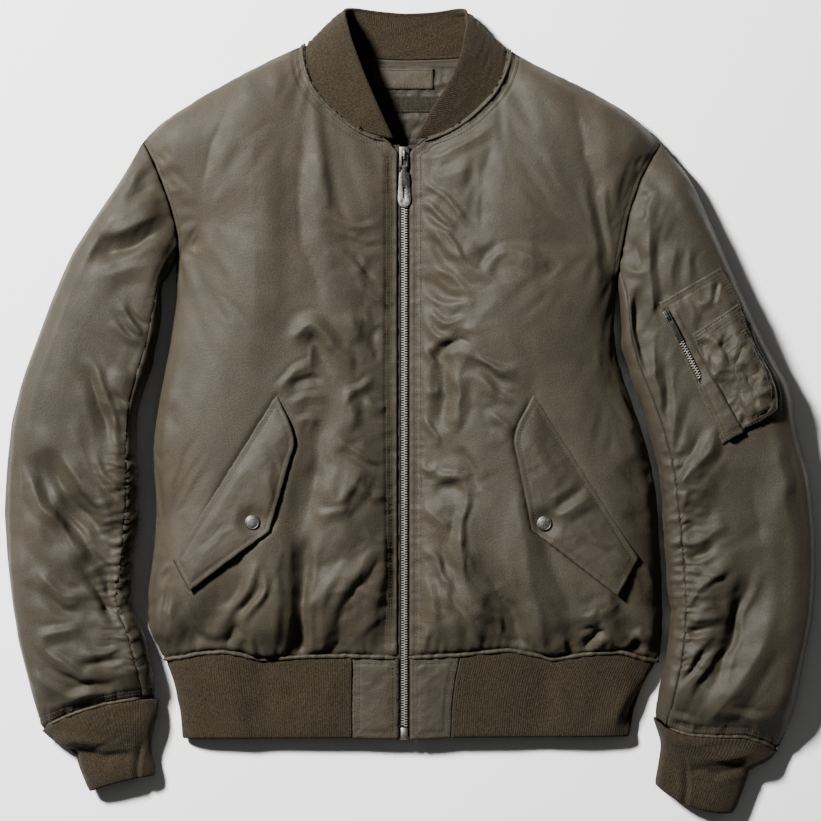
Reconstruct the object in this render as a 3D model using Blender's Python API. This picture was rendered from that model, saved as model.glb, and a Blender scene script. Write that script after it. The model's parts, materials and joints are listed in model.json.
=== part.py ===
"""A padded flight jacket, zipped up and laid flat on its back.

The frame: the jacket lies on the plane z = 0, its front up (+Z), its collar towards +Y and its
wearer's right arm towards -X. The origin is the middle of its footprint. Tables are in millimetres.

Every cloth piece is a wall: a grid of outer points, worked out from the seams round it, and the same
grid moved inwards by the wall's thickness. Neighbouring pieces share their seam's points, so their
walls meet face to face, with a small gap between them.
"""

import math

import bmesh
import bpy
import numpy as np
from mathutils import Vector
from mathutils.bvhtree import BVHTree

MM = 0.001
SEAM_INSET = 0.22  # each piece stops this far from its seam's line
PADDED_WALL = 3.6  # shell, batting and lining
EDGE_WALL = 1.6  # the padded fronts thin to this along the zip
EDGE_TAPER = 60.0
RIB_WALL = 2.8  # two layers of rib knit
PATCH_WALL = 1.6
FLAP_WALL = 2.6
TAPE_WALL = 1.0
CLEARANCE = 0.4  # what lies on a panel floats this far over its facets

BODY_CROWN = 41.0  # how high the fronts stand above the floor
SLEEVE_CROWN = 45.0
ZIP_X = -6.0  # the zip's centre line
ZIP_HALF_GAP = 10.0  # from the zip's centre line to a front's edge
TAPE_REACH = 15.0  # from the zip's centre line to its tape's far edge, under the front
BOX_LENGTH = 11.6
SLEEVE_CHAIN_HALF_WIDTH = 2.6
SLEEVE_CHAIN_THICKNESS = 1.8
FLAP_LIFT = 3.0
CHAIN_HALF_WIDTH = 3.6
CHAIN_THICKNESS = 2.6

# How far in from an edge the cloth takes to rise to its crown, or to come down to the floor.
SIDE_ROLL = 60.0
SEAM_RISE = 45.0
SHOULDER_ROLL = 60.0
ZIP_RISE = 60.0
BACK_ROLL = 22.0
HEM_ROLL = 16.0
SLEEVE_ROLL = 48.0
UNDER_SLEEVE_ROLL = 20.0
CUFF_RISE = 40.0
ARMHOLE_RISE = 50.0

# How many cells each stretch of seam is cut into.
SIDE_CELLS = 11
ARMHOLE_CELLS = 8
ZIP_CELLS = 12
NECK_CELLS = 7
HEM_CELLS = 7
PATCH_CELLS = 2
SHOULDER_CELLS = HEM_CELLS + PATCH_CELLS
BACK_NECK_CELLS = 8
SLEEVE_CELLS = 14
CLOSENESS = 0.7  # how much shorter than the mean a cell is at a rolled edge
RIB_ROWS = 3
RIB_SAG = 0.12  # how much of its height the hem loses by its free edge
COLLAR_ROWS = 4
UNDER_SLEEVE_COLUMNS = 2  # of the sleeve's upper face that belong to the under sleeve

# Each seam's points: x, y and the height of the outer surface. "close" says which ends have short
# cells, because the cloth rolls over an edge there.
SEAMS = {
    # the wearer's right half
    "side_right": ("even", [
        (-238, -240, 12), (-252, -211, 13), (-257, -188, 14), (-250, -163, 15), (-248, -134, 15),
        (-244, -91, 15), (-249, -47, 15), (-244, 0, 15), (-233, 58, 15), (-226, 100, 15), (-226, 143, 15)]),
    "armhole_right": ("both", [
        (-226, 143, 15), (-223, 152, 24), (-223, 166, 29), (-227, 186, 31), (-233, 204, 32),
        (-240, 223, 31), (-249, 243, 27), (-258, 259, 15)]),
    "armhole_back_right": ("both", [
        (-226, 143, 15), (-223, 150, 5), (-222, 164, 0), (-226, 190, 0), (-234, 215, 0),
        (-242, 238, 0), (-250, 251, 4), (-258, 259, 15)]),
    "shoulder_right": ("start", [
        (-258, 259, 15), (-240, 277, 14), (-202, 301, 14), (-154, 328, 14), (-125, 343, 14),
        (-102, 353, 14)]),
    "neck_front_right": ("end", [
        (-16, 257, 30), (-25, 259, 30), (-45, 266, 31), (-65, 280, 31), (-82, 297, 31), (-95, 315, 30),
        (-101, 335, 26), (-102, 353, 14)]),
    "hem_front_right": ("start", [
        (-238, -240, 12), (-221, -237, 20), (-197, -233, 22), (-164, -232, 24), (-152, -238, 22),
        (-137, -240, 21), (-116, -238, 22), (-87, -235, 23), (-56, -236, 23)]),
    "hem_patch_right": ("even", [(-56, -236, 23), (-16, -237, 24)]),
    "zip_edge_right": ("even", [(-16, -237, 24), (-16, -100, 28), (-16, 100, 30), (-16, 257, 30)]),
    "sleeve_outer_right": ("even", [
        (-355, -308, 14), (-366, -268, 15), (-376, -230, 15), (-384, -182, 15), (-390, -124, 15),
        (-391, -81, 15), (-386, -28, 15), (-380, 14, 15), (-368, 44, 15), (-354, 85, 15), (-341, 118, 15),
        (-329, 146, 15), (-308, 180, 15), (-281, 219, 15), (-258, 259, 15)]),
    "sleeve_inner_right": ("even", [
        (-242, -277, 14), (-252, -228, 15), (-263, -203, 15), (-270, -182, 15), (-264, -158, 15),
        (-260, -124, 15), (-258, -91, 15), (-259, -62, 15), (-263, -23, 15), (-258, 12, 15),
        (-250, 39, 15), (-243, 72, 15), (-244, 101, 15), (-238, 127, 15), (-226, 143, 15)]),
    "cuff_top_right": ("both", [
        (-355, -308, 14), (-345, -301, 25), (-325, -292, 30), (-300, -284, 32), (-275, -279, 30),
        (-254, -277, 25), (-242, -277, 14)]),
    "cuff_bottom_right": ("both", [
        (-355, -308, 14), (-346, -303, 4), (-334, -297, 0), (-300, -285, 0), (-268, -279, 0),
        (-252, -277, 4), (-242, -277, 14)]),
    # the wearer's left half
    "side_left": ("even", [
        (240, -242, 12), (243, -215, 13), (243, -182, 14), (241, -143, 15), (239, -105, 15),
        (235, -67, 15), (226, -28, 15), (214, 8, 15), (203, 34, 15), (197, 68, 15), (196, 95, 15),
        (199, 118, 15)]),
    "armhole_left": ("both", [
        (199, 118, 15), (199, 128, 24), (201, 143, 29), (205, 164, 31), (209, 185, 32), (214, 204, 32),
        (221, 221, 31), (232, 242, 26), (242, 257, 15)]),
    "armhole_back_left": ("both", [
        (199, 118, 15), (199, 125, 5), (200, 138, 0), (205, 166, 0), (211, 194, 0), (220, 220, 0),
        (229, 241, 0), (235, 249, 4), (242, 257, 15)]),
    "shoulder_left": ("end", [
        (94, 348, 14), (124, 332, 14), (153, 317, 14), (182, 303, 14), (211, 286, 14), (230, 270, 14),
        (242, 257, 15)]),
    "neck_front_left": ("end", [
        (4, 257, 30), (14, 260, 30), (36, 268, 31), (57, 282, 31), (73, 298, 31), (85, 314, 30),
        (92, 332, 26), (94, 348, 14)]),
    "hem_front_left": ("end", [
        (48, -235, 23), (67, -232, 23), (96, -230, 23), (115, -234, 22), (134, -239, 21),
        (158, -238, 22), (182, -232, 24), (206, -233, 22), (225, -239, 19), (240, -242, 12)]),
    "hem_patch_left": ("even", [(4, -237, 24), (48, -235, 23)]),
    "zip_edge_left": ("even", [(4, -237, 24), (4, -100, 28), (4, 100, 30), (4, 257, 30)]),
    "sleeve_outer_left": ("even", [
        (354, -328, 14), (365, -305, 15), (375, -268, 15), (382, -225, 15), (390, -187, 15),
        (391, -143, 15), (389, -95, 15), (383, -57, 15), (372, -19, 15), (371, 10, 15), (361, 30, 15),
        (338, 72, 15), (319, 114, 15), (299, 159, 15), (279, 204, 15), (259, 243, 15), (242, 257, 15)]),
    "sleeve_inner_left": ("even", [
        (233, -295, 14), (236, -278, 15), (243, -251, 15), (248, -218, 15), (248, -182, 15),
        (246, -143, 15), (243, -104, 15), (239, -65, 15), (231, -26, 15), (219, 10, 15), (208, 38, 15),
        (203, 70, 15), (203, 98, 15), (199, 118, 15)]),
    "cuff_top_left": ("both", [
        (233, -295, 14), (244, -304, 25), (261, -311, 30), (283, -314, 32), (307, -313, 31),
        (333, -317, 26), (354, -328, 14)]),
    "cuff_bottom_left": ("both", [
        (233, -295, 14), (242, -302, 4), (256, -309, 0), (283, -314, 0), (315, -314, 0), (342, -322, 4),
        (354, -328, 14)]),
    # the back
    "hem_back": ("both", [
        (-238, -240, 12), (-230, -240, 2), (-212, -240, 0), (0, -240, 0), (212, -241, 0),
        (232, -242, 2), (240, -242, 12)]),
    "neck_back": ("both", [
        (-102, 353, 14), (-97, 350, 3), (-84, 345, 0), (-60, 341, 0), (-5, 338, 0), (50, 340, 0),
        (75, 343, 0), (89, 346, 3), (94, 348, 14)]),
    # the collar's free edge, and the ends of the cuffs and the hem
    "collar_edge_right": ("end", [
        (-16, 260, 33), (-23, 272, 37), (-31, 292, 40), (-41, 315, 41), (-50, 338, 41), (-58, 360, 38),
        (-64, 378, 33), (-66, 387, 18)]),
    "collar_edge_back": ("both", [
        (-66, 387, 18), (-61, 389, 8), (-48, 388, 4), (-29, 385, 3), (-5, 383, 3), (19, 384, 3),
        (38, 387, 4), (51, 388, 8), (56, 386, 18)]),
    "collar_edge_left": ("end", [
        (4, 260, 33), (9, 272, 36), (16, 284, 38), (25, 295, 39), (35, 310, 40), (43, 328, 40),
        (50, 346, 39), (54, 366, 34), (56, 386, 18)]),
    "hem_end_right": ("even", [(-238, -240, 12), (-231, -259, 12), (-225, -288, 11), (-222, -316, 11)]),
    "hem_end_left": ("even", [(240, -242, 12), (229, -259, 12), (219, -282, 11), (214, -314, 11)]),
}

# Rings of a cuff, from the sleeve's seam to its opening: the points at its two sides, its lowest and
# highest points, and how far its middle runs out past the line between the sides.
CUFFS = {
    "right": [
        dict(outer=(-355, -308), inner=(-242, -277), low=0, high=32, bow=4),
        dict(outer=(-341, -319), inner=(-244, -293), low=0, high=31, bow=3),
        dict(outer=(-324, -329), inner=(-249, -312), low=1, high=26, bow=1),
        dict(outer=(-318, -344), inner=(-250, -328), low=2, high=23, bow=1),
        dict(outer=(-309, -367), inner=(-245, -351), low=3, high=23, bow=-2),
    ],
    "left": [
        dict(outer=(354, -328), inner=(233, -295), low=0, high=32, bow=2),
        dict(outer=(342, -338), inner=(238, -309), low=0, high=31, bow=3),
        dict(outer=(326, -346), inner=(241, -322), low=1, high=26, bow=4),
        dict(outer=(321, -360), inner=(239, -340), low=2, high=23, bow=6),
        dict(outer=(311, -388), inner=(235, -360), low=3, high=23, bow=8),
    ],
}

# The largest folds: from and to (x, y), half width, and height of the crest (a trough is below 0).
FOLDS = {
    "front_right": [
        ((-103, -60), (-106, -225), 15, -9), ((-140, -130), (-137, -222), 22, 6),
        ((-70, -80), (-45, -190), 20, 5), ((-92, 60), (-60, -10), 22, -5),
        ((-165, 40), (-175, 200), 30, 4), ((-178, -205), (-172, -226), 9, -7),
    ],
    "front_left": [
        ((196, 150), (197, -25), 7, -12), ((182, 190), (190, 140), 8, -7),
        ((66, -165), (112, -220), 18, -9), ((28, 66), (62, 70), 14, 6),
        ((40, 40), (34, -20), 12, -5), ((165, -218), (222, -224), 9, -7),
        ((100, -60), (90, 180), 40, 4),
    ],
    "sleeve_top_right": [
        ((-366, -48), (-290, -150), 10, -9), ((-300, 150), (-240, 165), 13, -7),
        ((-300, 30), (-282, -40), 10, -6), ((-300, -180), (-275, -178), 14, -9),
        ((-350, -240), (-290, -262), 10, 5),
    ],
    "sleeve_top_left": [
        ((330, -150), (284, -280), 11, -10), ((285, -30), (252, -110), 13, 6),
        ((262, -180), (310, -160), 10, 5), ((222, 180), (240, 215), 8, 5),
        ((228, 110), (232, 30), 9, -6),
    ],
}

FLAPS = {  # x and y of the corners: the sewn edge runs from low to high
    "right": dict(low=(-228, -143), high=(-128, 17), knee=(-109, -26), heel=(-135, -116), toe=(-211, -173)),
    "left": dict(low=(219, -142), high=(118, 17), knee=(97, -23), heel=(116, -115), toe=(198, -178)),
}
SNAPS = {"right": (-151, -107), "left": (128, -108)}
SNAP_RADIUS = 7.4
SNAP_HEIGHT = 2.2

# The pocket on the left sleeve: x and y along its four edges, and the same for its two pen pockets.
POUCH = dict(
    left=[(298, -33), (237, 103)],
    right=[(355, 0), (356, 16), (350, 34), (333, 63), (326, 85), (318, 101), (311, 116), (298, 138)],
    low=[(298, -33), (312, -24), (334, -15), (355, 0)],
    high=[(237, 103), (298, 138)],
)
PEN_POCKETS = {
    "back": dict(
        left=[(311, -21), (293, 16), (269, 73)],
        right=[(351, 1), (351, 16), (345, 36), (328, 66), (321, 86), (314, 103)],
        low=[(311, -21), (334, -12), (351, 1)],
        high=[(269, 73), (314, 103)],
    ),
    "front": dict(
        left=[(323, -11), (313, 10), (307, 36), (295, 60)],
        right=[(347, 3), (347, 17), (341, 36), (329, 58), (320, 79)],
        low=[(323, -11), (347, 3)],
        high=[(295, 60), (320, 79)],
    ),
}
POUCH_WALL = 2.0
SLEEVE_ZIP_LINE = ((243, 95), (304, -22))  # from the slider's top to the chain's end

# A slider: its half width, length and thickness, how far up it the pull's bar lies, the bar's half
# thickness, the bridge's half width, and how steeply the pull slopes down to the chain. A pull's rows
# are its reach from the bar, the half width of its hole or slot, its own half width, and whether the
# middle is solid up to the next row.
MAIN_ZIP = dict(
    half=4.7, length=20.0, thick=3.0, hinge=11.0, bar=0.9, post=1.1, tilt=0.040,
    pull=[
        (-0.9, 2.3, 3.6, True), (0.9, 2.3, 3.6, False), (9.0, 2.3, 3.6, True), (10.5, 2.0, 3.6, True),
        (11.3, 1.0, 2.2, True), (15.0, 1.0, 2.4, True), (16.5, 1.0, 4.9, True), (30.0, 1.1, 5.7, False),
        (41.0, 1.1, 6.2, True), (45.5, 1.1, 5.6, True), (48.0, 1.0, 3.8, True), (49.0, 0.8, 1.7, True)],
)
SLEEVE_ZIP = dict(
    half=3.2, length=12.0, thick=2.2, hinge=6.5, bar=0.7, post=0.7, tilt=-0.005,
    pull=[
        (-0.7, 1.6, 2.6, True), (0.7, 1.6, 2.6, False), (6.0, 1.6, 2.6, True), (7.2, 1.2, 2.9, True),
        (26.0, 1.2, 2.9, True), (27.0, 1.0, 2.0, True)],
)
MAIN_HINGE_Y = 244.0

COLOURS = {
    "nylon": ((0.105, 0.090, 0.066), 0.42, 0.0),
    "rib": ((0.070, 0.057, 0.038), 0.95, 0.0),
    "lining": ((0.080, 0.072, 0.055), 0.55, 0.0),
    "tape": ((0.060, 0.052, 0.040), 0.85, 0.0),
    "zip_metal": ((0.30, 0.29, 0.27), 0.35, 1.0),
    "snap_metal": ((0.25, 0.23, 0.19), 0.40, 1.0),
}


def clear_scene():
    for obj in list(bpy.data.objects):
        bpy.data.objects.remove(obj, do_unlink=True)


def finish(name):
    """The material of that name, made once."""
    made = bpy.data.materials.get(name)
    if made:
        return made
    colour, roughness, metallic = COLOURS[name]
    made = bpy.data.materials.new(name)
    made.use_nodes = True
    shader = made.node_tree.nodes["Principled BSDF"]
    shader.inputs["Base Color"].default_value = (*colour, 1)
    shader.inputs["Roughness"].default_value = roughness
    shader.inputs["Metallic"].default_value = metallic
    return made


# ---------------------------------------------------------------- curves and grids


def along(points, stations):
    """Points on the smooth curve through the given ones, at these shares of its length."""
    points = np.array(points, float)
    padded = np.vstack([2 * points[0] - points[1], points, 2 * points[-1] - points[-2]])
    fine = []
    steps = np.linspace(0, 1, 24, endpoint=False)[:, None]
    for before, start, end, after in zip(padded, padded[1:], padded[2:], padded[3:]):
        fine.append(0.5 * (2 * start + (end - before) * steps
                           + (2 * before - 5 * start + 4 * end - after) * steps**2
                           + (3 * start - before - 3 * end + after) * steps**3))
    fine = np.vstack([*fine, points[-1:]])
    length = np.concatenate([[0], np.cumsum(np.linalg.norm(np.diff(fine, axis=0), axis=1))])
    wanted = np.asarray(stations) * length[-1]
    return np.column_stack([np.interp(wanted, length, fine[:, axis]) for axis in range(fine.shape[1])])


def stations(cells, close):
    """Shares of a length, one more than the cells, closer together at the ends that close names."""
    even = np.linspace(0, 1, cells + 1)
    if close == "both":
        return even - CLOSENESS * np.sin(2 * math.pi * even) / (2 * math.pi)
    if close == "start":
        return even - CLOSENESS * np.sin(math.pi * even) / math.pi
    if close == "end":
        return even + CLOSENESS * np.sin(math.pi * even) / math.pi
    return even


def seam(name, cells):
    """A seam's points, none below the floor."""
    close, points = SEAMS[name]
    return np.maximum(along(points, stations(cells, close)), (-math.inf, -math.inf, 0))


def joined(*edges):
    """Edges laid end to end, with the points where they meet kept once."""
    return np.vstack([edges[0], *[edge[1:] for edge in edges[1:]]])


def shares(first, second):
    """Where the points of two opposite edges lie, as the mean share of their lengths."""
    found = []
    for edge in (first, second):
        length = np.concatenate([[0], np.cumsum(np.linalg.norm(np.diff(edge, axis=0), axis=1))])
        found.append(length / length[-1])
    return (found[0] + found[1]) / 2


def patch(left, right, bottom, top):
    """A grid [across][up] that fills its four edges smoothly, and its points' shares across and up."""
    across, up = shares(bottom, top), shares(left, right)
    u, v = across[:, None, None], up[None, :, None]
    grid = (1 - u) * left[None] + u * right[None] + (1 - v) * bottom[:, None] + v * top[:, None]
    grid -= (1 - u) * (1 - v) * bottom[0] + u * (1 - v) * bottom[-1]
    grid -= (1 - u) * v * top[0] + u * v * top[-1]
    return grid, across, up


def rolled(distance, width):
    """0 at an edge that the cloth rolls over, rising steeply to 1 at width."""
    share = np.clip(distance / width, 0, 1)
    return (1 - (1 - share) ** 2.4) ** (1 / 2.4)


def sewn(distance, width):
    """0 at a seam, rising gently to 1 at width."""
    share = np.clip(distance / width, 0, 1)
    return np.sin(share * math.pi / 2)


def fold_heights(grid, folds):
    """How far the folds lift each point of a grid."""
    lift = np.zeros(grid.shape[:2])
    for start, end, half_width, height in folds:
        a, b = np.array(start, float), np.array(end, float)
        offset = grid[..., :2] - a
        share = np.clip(offset @ (b - a) / ((b - a) @ (b - a)), 0, 1)
        away = np.linalg.norm(offset - share[..., None] * (b - a), axis=-1)
        ends = 0.45 + 0.55 * np.sin(math.pi * share)
        lift += height * ends * np.exp(-((away / half_width) ** 2))
    return lift


def puffed(grid, rise, crown, folds=()):
    """The grid lifted towards the crown where rise is 1, with its folds."""
    made = grid.copy()
    made[..., 2] += (crown - made[..., 2]) * rise + fold_heights(grid, folds) * rise
    made[..., 2] = np.maximum(made[..., 2], 0)
    return made


def width_of(grid, axis):
    """The mean length of a grid across (0) or up (1)."""
    return float(np.linalg.norm(np.diff(grid, axis=axis), axis=2).sum(axis=axis).mean())


# ---------------------------------------------------------------- the outer surface of each piece


def front_right():
    left = joined(seam("side_right", SIDE_CELLS), seam("armhole_right", ARMHOLE_CELLS))
    right = joined(seam("zip_edge_right", ZIP_CELLS), seam("neck_front_right", NECK_CELLS))
    bottom = joined(seam("hem_front_right", HEM_CELLS), seam("hem_patch_right", PATCH_CELLS))
    top = seam("shoulder_right", SHOULDER_CELLS)
    grid, across, up = patch(left, right, bottom, top)
    u, v = across[:, None] * width_of(grid, 0), up[None, :] * width_of(grid, 1)
    below_armhole = np.arange(left.shape[0]) <= SIDE_CELLS
    at_side = np.where(below_armhole, rolled(u, SIDE_ROLL), sewn(u, SEAM_RISE))
    at_ends = sewn(v, SEAM_RISE) * rolled(v.max() - v, SHOULDER_ROLL)
    rise = at_side * sewn(u.max() - u, ZIP_RISE) * at_ends
    return puffed(grid, rise, BODY_CROWN, FOLDS["front_right"])


def front_left():
    left = joined(seam("zip_edge_left", ZIP_CELLS), seam("neck_front_left", NECK_CELLS))
    right = joined(seam("side_left", SIDE_CELLS), seam("armhole_left", ARMHOLE_CELLS))
    bottom = joined(seam("hem_patch_left", PATCH_CELLS), seam("hem_front_left", HEM_CELLS))
    top = seam("shoulder_left", SHOULDER_CELLS)
    grid, across, up = patch(left, right, bottom, top)
    u, v = across[:, None] * width_of(grid, 0), up[None, :] * width_of(grid, 1)
    below_armhole = np.arange(right.shape[0]) <= SIDE_CELLS
    from_side = u.max() - u
    at_side = np.where(below_armhole, rolled(from_side, SIDE_ROLL), sewn(from_side, SEAM_RISE))
    at_ends = sewn(v, SEAM_RISE) * rolled(v.max() - v, SHOULDER_ROLL)
    rise = at_side * sewn(u, ZIP_RISE) * at_ends
    return puffed(grid, rise, BODY_CROWN, FOLDS["front_left"])


def back():
    """Its outer face is the underside, so it runs from the wearer's left to the right."""
    left = joined(seam("side_left", SIDE_CELLS), seam("armhole_back_left", ARMHOLE_CELLS))
    right = joined(seam("side_right", SIDE_CELLS), seam("armhole_back_right", ARMHOLE_CELLS))
    bottom = seam("hem_back", 2 * SHOULDER_CELLS + BACK_NECK_CELLS)[::-1]
    top = joined(seam("shoulder_left", SHOULDER_CELLS)[::-1], seam("neck_back", BACK_NECK_CELLS)[::-1],
                 seam("shoulder_right", SHOULDER_CELLS)[::-1])
    grid, across, up = patch(left, right, bottom, top)
    u, v = across[:, None] * width_of(grid, 0), up[None, :] * width_of(grid, 1)
    rise = rolled(u, BACK_ROLL) * rolled(u.max() - u, BACK_ROLL)
    rise = rise * rolled(v, HEM_ROLL) * rolled(v.max() - v, BACK_ROLL)
    return puffed(grid, rise, 0)


def sleeve(side):
    """Both faces of a sleeve as one closed ring of columns, from its left edge over the top."""
    outer = seam("sleeve_outer_" + side, SLEEVE_CELLS)
    inner = seam("sleeve_inner_" + side, SLEEVE_CELLS)
    faces = []
    for upper, cuff, armhole in ((True, "cuff_top_", "armhole_"),
                                 (False, "cuff_bottom_", "armhole_back_")):
        low, high = seam(cuff + side, ARMHOLE_CELLS), seam(armhole + side, ARMHOLE_CELLS)
        left, right = (outer, inner) if side == "right" else (inner, outer)
        if side == "right":
            high = high[::-1]
        grid, across, up = patch(left, right, low, high)
        u, v = across[:, None] * width_of(grid, 0), up[None, :] * width_of(grid, 1)
        roll_width = SLEEVE_ROLL if upper else UNDER_SLEEVE_ROLL
        rise = rolled(u, roll_width) * rolled(u.max() - u, roll_width)
        if upper:
            rise = rise * sewn(v, CUFF_RISE) * sewn(v.max() - v, ARMHOLE_RISE)
            faces.append(puffed(grid, rise, SLEEVE_CROWN, FOLDS["sleeve_top_" + side]))
        else:
            rise = rise * rolled(v, HEM_ROLL) * rolled(v.max() - v, HEM_ROLL)
            faces.append(puffed(grid, rise, 0))
    return np.vstack([faces[0], faces[1][::-1][1:]])


def sleeve_pieces(side):
    """The top sleeve and the under sleeve, which comes round on to the upper face at the inner side."""
    ring = sleeve(side)
    if side == "right":
        cut = ARMHOLE_CELLS - UNDER_SLEEVE_COLUMNS
        return ring[: cut + 1], ring[cut:]
    cut = UNDER_SLEEVE_COLUMNS
    turned = np.vstack([ring[ARMHOLE_CELLS:], ring[1: cut + 1]])
    return ring[cut: ARMHOLE_CELLS + 1], turned


def cuff(side):
    """Rings round the cuff, whose first one lies on the sleeve's seam."""
    upper, lower = seam("cuff_top_" + side, ARMHOLE_CELLS), seam("cuff_bottom_" + side, ARMHOLE_CELLS)
    rings = [np.vstack([upper, lower[::-1][1:]])]
    across = stations(ARMHOLE_CELLS, "both")
    bump = rolled(np.minimum(across, 1 - across), 0.5)
    for row in CUFFS[side][1:]:
        outer, inner = np.array(row["outer"], float), np.array(row["inner"], float)
        start, end = (outer, inner) if side == "right" else (inner, outer)
        middle = (row["low"] + row["high"]) / 2
        out = np.array([end[1] - start[1], start[0] - end[0]]) / np.linalg.norm(end - start)
        bow = row["bow"] * 4 * across * (1 - across)
        plan = start + across[:, None] * (end - start) + bow[:, None] * out
        faces = [np.column_stack([plan, middle + (height - middle) * bump])
                 for height in (row["high"], row["low"])]
        rings.append(np.vstack([faces[0], faces[1][::-1][1:]]))
    return np.stack(rings, axis=1)[:, ::-1]


def collar():
    """A band round the neck, from the wearer's left front, under the neck, to the right front."""
    low = joined(seam("neck_front_right", NECK_CELLS), seam("neck_back", BACK_NECK_CELLS),
                 seam("neck_front_left", NECK_CELLS)[::-1])
    high = joined(seam("collar_edge_right", NECK_CELLS), seam("collar_edge_back", BACK_NECK_CELLS),
                  seam("collar_edge_left", NECK_CELLS)[::-1])
    up = np.linspace(0, 1, COLLAR_ROWS + 1)[None, :, None]
    return ((1 - up) * low[:, None] + up * high[:, None])[::-1]


def hem_rib():
    """A band that starts at the right front's patch, goes round under the back, and ends at the left's."""
    top = joined(seam("hem_front_right", HEM_CELLS)[::-1],
                 seam("hem_back", 2 * SHOULDER_CELLS + BACK_NECK_CELLS),
                 seam("hem_front_left", HEM_CELLS)[::-1])
    shares_down = np.linspace(0, 1, RIB_ROWS + 1)
    ends = [along(SEAMS["hem_end_" + side][1], shares_down) for side in ("right", "left")]
    spread = (top[:, 0] - top[:, 0].min()) / (top[:, 0].max() - top[:, 0].min())
    wave = top[:, 1] - (ends[0][0][1] + spread * (ends[1][0][1] - ends[0][0][1]))
    grid = []
    for row, (share, right, left) in enumerate(zip(shares_down, *ends)):
        line = top.copy()
        line[:, :2] = right[:2] + spread[:, None] * (left[:2] - right[:2])
        if row < RIB_ROWS:
            line[:, 1] += wave
        line[:, 2] *= 1 - RIB_SAG * share
        grid.append(line)
    return np.stack(grid, axis=1)[::-1, ::-1]


def hem_patch(side):
    """The nylon square at an end of the hem, beside the zip."""
    top = seam("hem_patch_" + side, PATCH_CELLS)
    rib = hem_rib()[-1 if side == "right" else 0][::-1]
    rows = []
    for row in range(RIB_ROWS + 1):
        line = top.copy()
        line[:, 1] += rib[row][1] - rib[0][1]
        line[:, 2] += rib[row][2] - rib[0][2]
        if side == "right":
            line[:, 0] = np.linspace(rib[row][0], top[-1, 0], len(top))
        else:
            line[:, 0] = np.linspace(top[0, 0], rib[row][0], len(top))
        rows.append(line)
    return np.stack(rows, axis=1)[:, ::-1]


# ---------------------------------------------------------------- walls


def face_normals(grid):
    """A direction square to each cell of the grid."""
    a, b, c, d = grid[:-1, :-1], grid[1:, :-1], grid[1:, 1:], grid[:-1, 1:]
    return np.cross(c - a, d - b)


def key(point):
    """The same for points that coincide."""
    return tuple(np.round(point, 2))


def shared_normals(grids):
    """The outward direction at each point, the same for every piece that meets there."""
    total = {}
    for grid in grids:
        normals = face_normals(grid)
        normals /= np.linalg.norm(normals, axis=-1, keepdims=True) + 1e-9
        for i, j in np.ndindex(normals.shape[:2]):
            for corner in ((0, 0), (1, 0), (1, 1), (0, 1)):
                point = key(grid[i + corner[0], j + corner[1]])
                total[point] = total.get(point, 0) + normals[i, j]
    return total


def inner_grid(grid, thickness, normals):
    """The grid moved inwards by a thickness, which is one number or one for each point."""
    thickness = np.broadcast_to(thickness, grid.shape[:2])
    inner = grid.copy()
    for i, j in np.ndindex(grid.shape[:2]):
        normal = normals[key(grid[i, j])]
        inner[i, j] -= thickness[i, j] * normal / np.linalg.norm(normal)
    return inner


def inset(grid, closed):
    """The grid with its edges drawn back from their seams."""
    made = grid.copy()
    for axis in ((1,) if closed else (0, 1)):
        for edge, inward in ((0, 1), (-1, -2)):
            step = np.take(grid, inward, axis) - np.take(grid, edge, axis)
            step *= SEAM_INSET / (np.linalg.norm(step, axis=-1, keepdims=True) + 1e-9)
            if axis == 0:
                made[edge] += step
            else:
                made[:, edge] += step
    return made


def add_object(name, mesh_builder, material):
    """An object whose mesh the builder fills, its faces turned outwards."""
    mesh = bpy.data.meshes.new(name)
    bm = bmesh.new()
    mesh_builder(bm)
    bmesh.ops.recalc_face_normals(bm, faces=bm.faces)
    bm.to_mesh(mesh)
    bm.free()
    obj = bpy.data.objects.new(name, mesh)
    bpy.context.scene.collection.objects.link(obj)
    mesh.materials.append(finish(material))
    mesh.shade_smooth()
    mesh.set_sharp_from_angle(angle=math.radians(50))
    return obj


def rim_face(bm, outer_a, outer_b, inner_a, inner_b):
    """Two triangles of a wall's rim, cut the same way on both sides of a seam."""
    weight = Vector((1.0, 0.31, 0.17))
    if outer_a.co.dot(weight) < outer_b.co.dot(weight):
        bm.faces.new((outer_a, outer_b, inner_b))
        bm.faces.new((outer_a, inner_b, inner_a))
    else:
        bm.faces.new((outer_a, outer_b, inner_a))
        bm.faces.new((outer_b, inner_b, inner_a))


def wall(name, outer, inner, material, closed=False):
    """A closed solid between two grids. A closed one is a tube, whose last column is its first."""
    outer, inner = inset(outer, closed), inset(inner, closed)
    last, rows = outer.shape[0] - 1, outer.shape[1] - 1

    def build(bm):
        skins = []
        for grid in (outer, inner):
            columns = grid[:-1] if closed else grid
            skins.append([[bm.verts.new(Vector(point) * MM) for point in column] for column in columns])
            if closed:
                skins[-1].append(skins[-1][0])
        out, back_of = skins
        for i in range(last):
            for j in range(rows):
                for skin in skins:
                    bm.faces.new((skin[i][j], skin[i + 1][j], skin[i + 1][j + 1], skin[i][j + 1]))
            for j in (0, rows):
                rim_face(bm, out[i][j], out[i + 1][j], back_of[i][j], back_of[i + 1][j])
        for i in () if closed else (0, last):
            for j in range(rows):
                rim_face(bm, out[i][j], out[i][j + 1], back_of[i][j], back_of[i][j + 1])

    return add_object(name, build, material)


# ---------------------------------------------------------------- laying one thing on another


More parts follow.
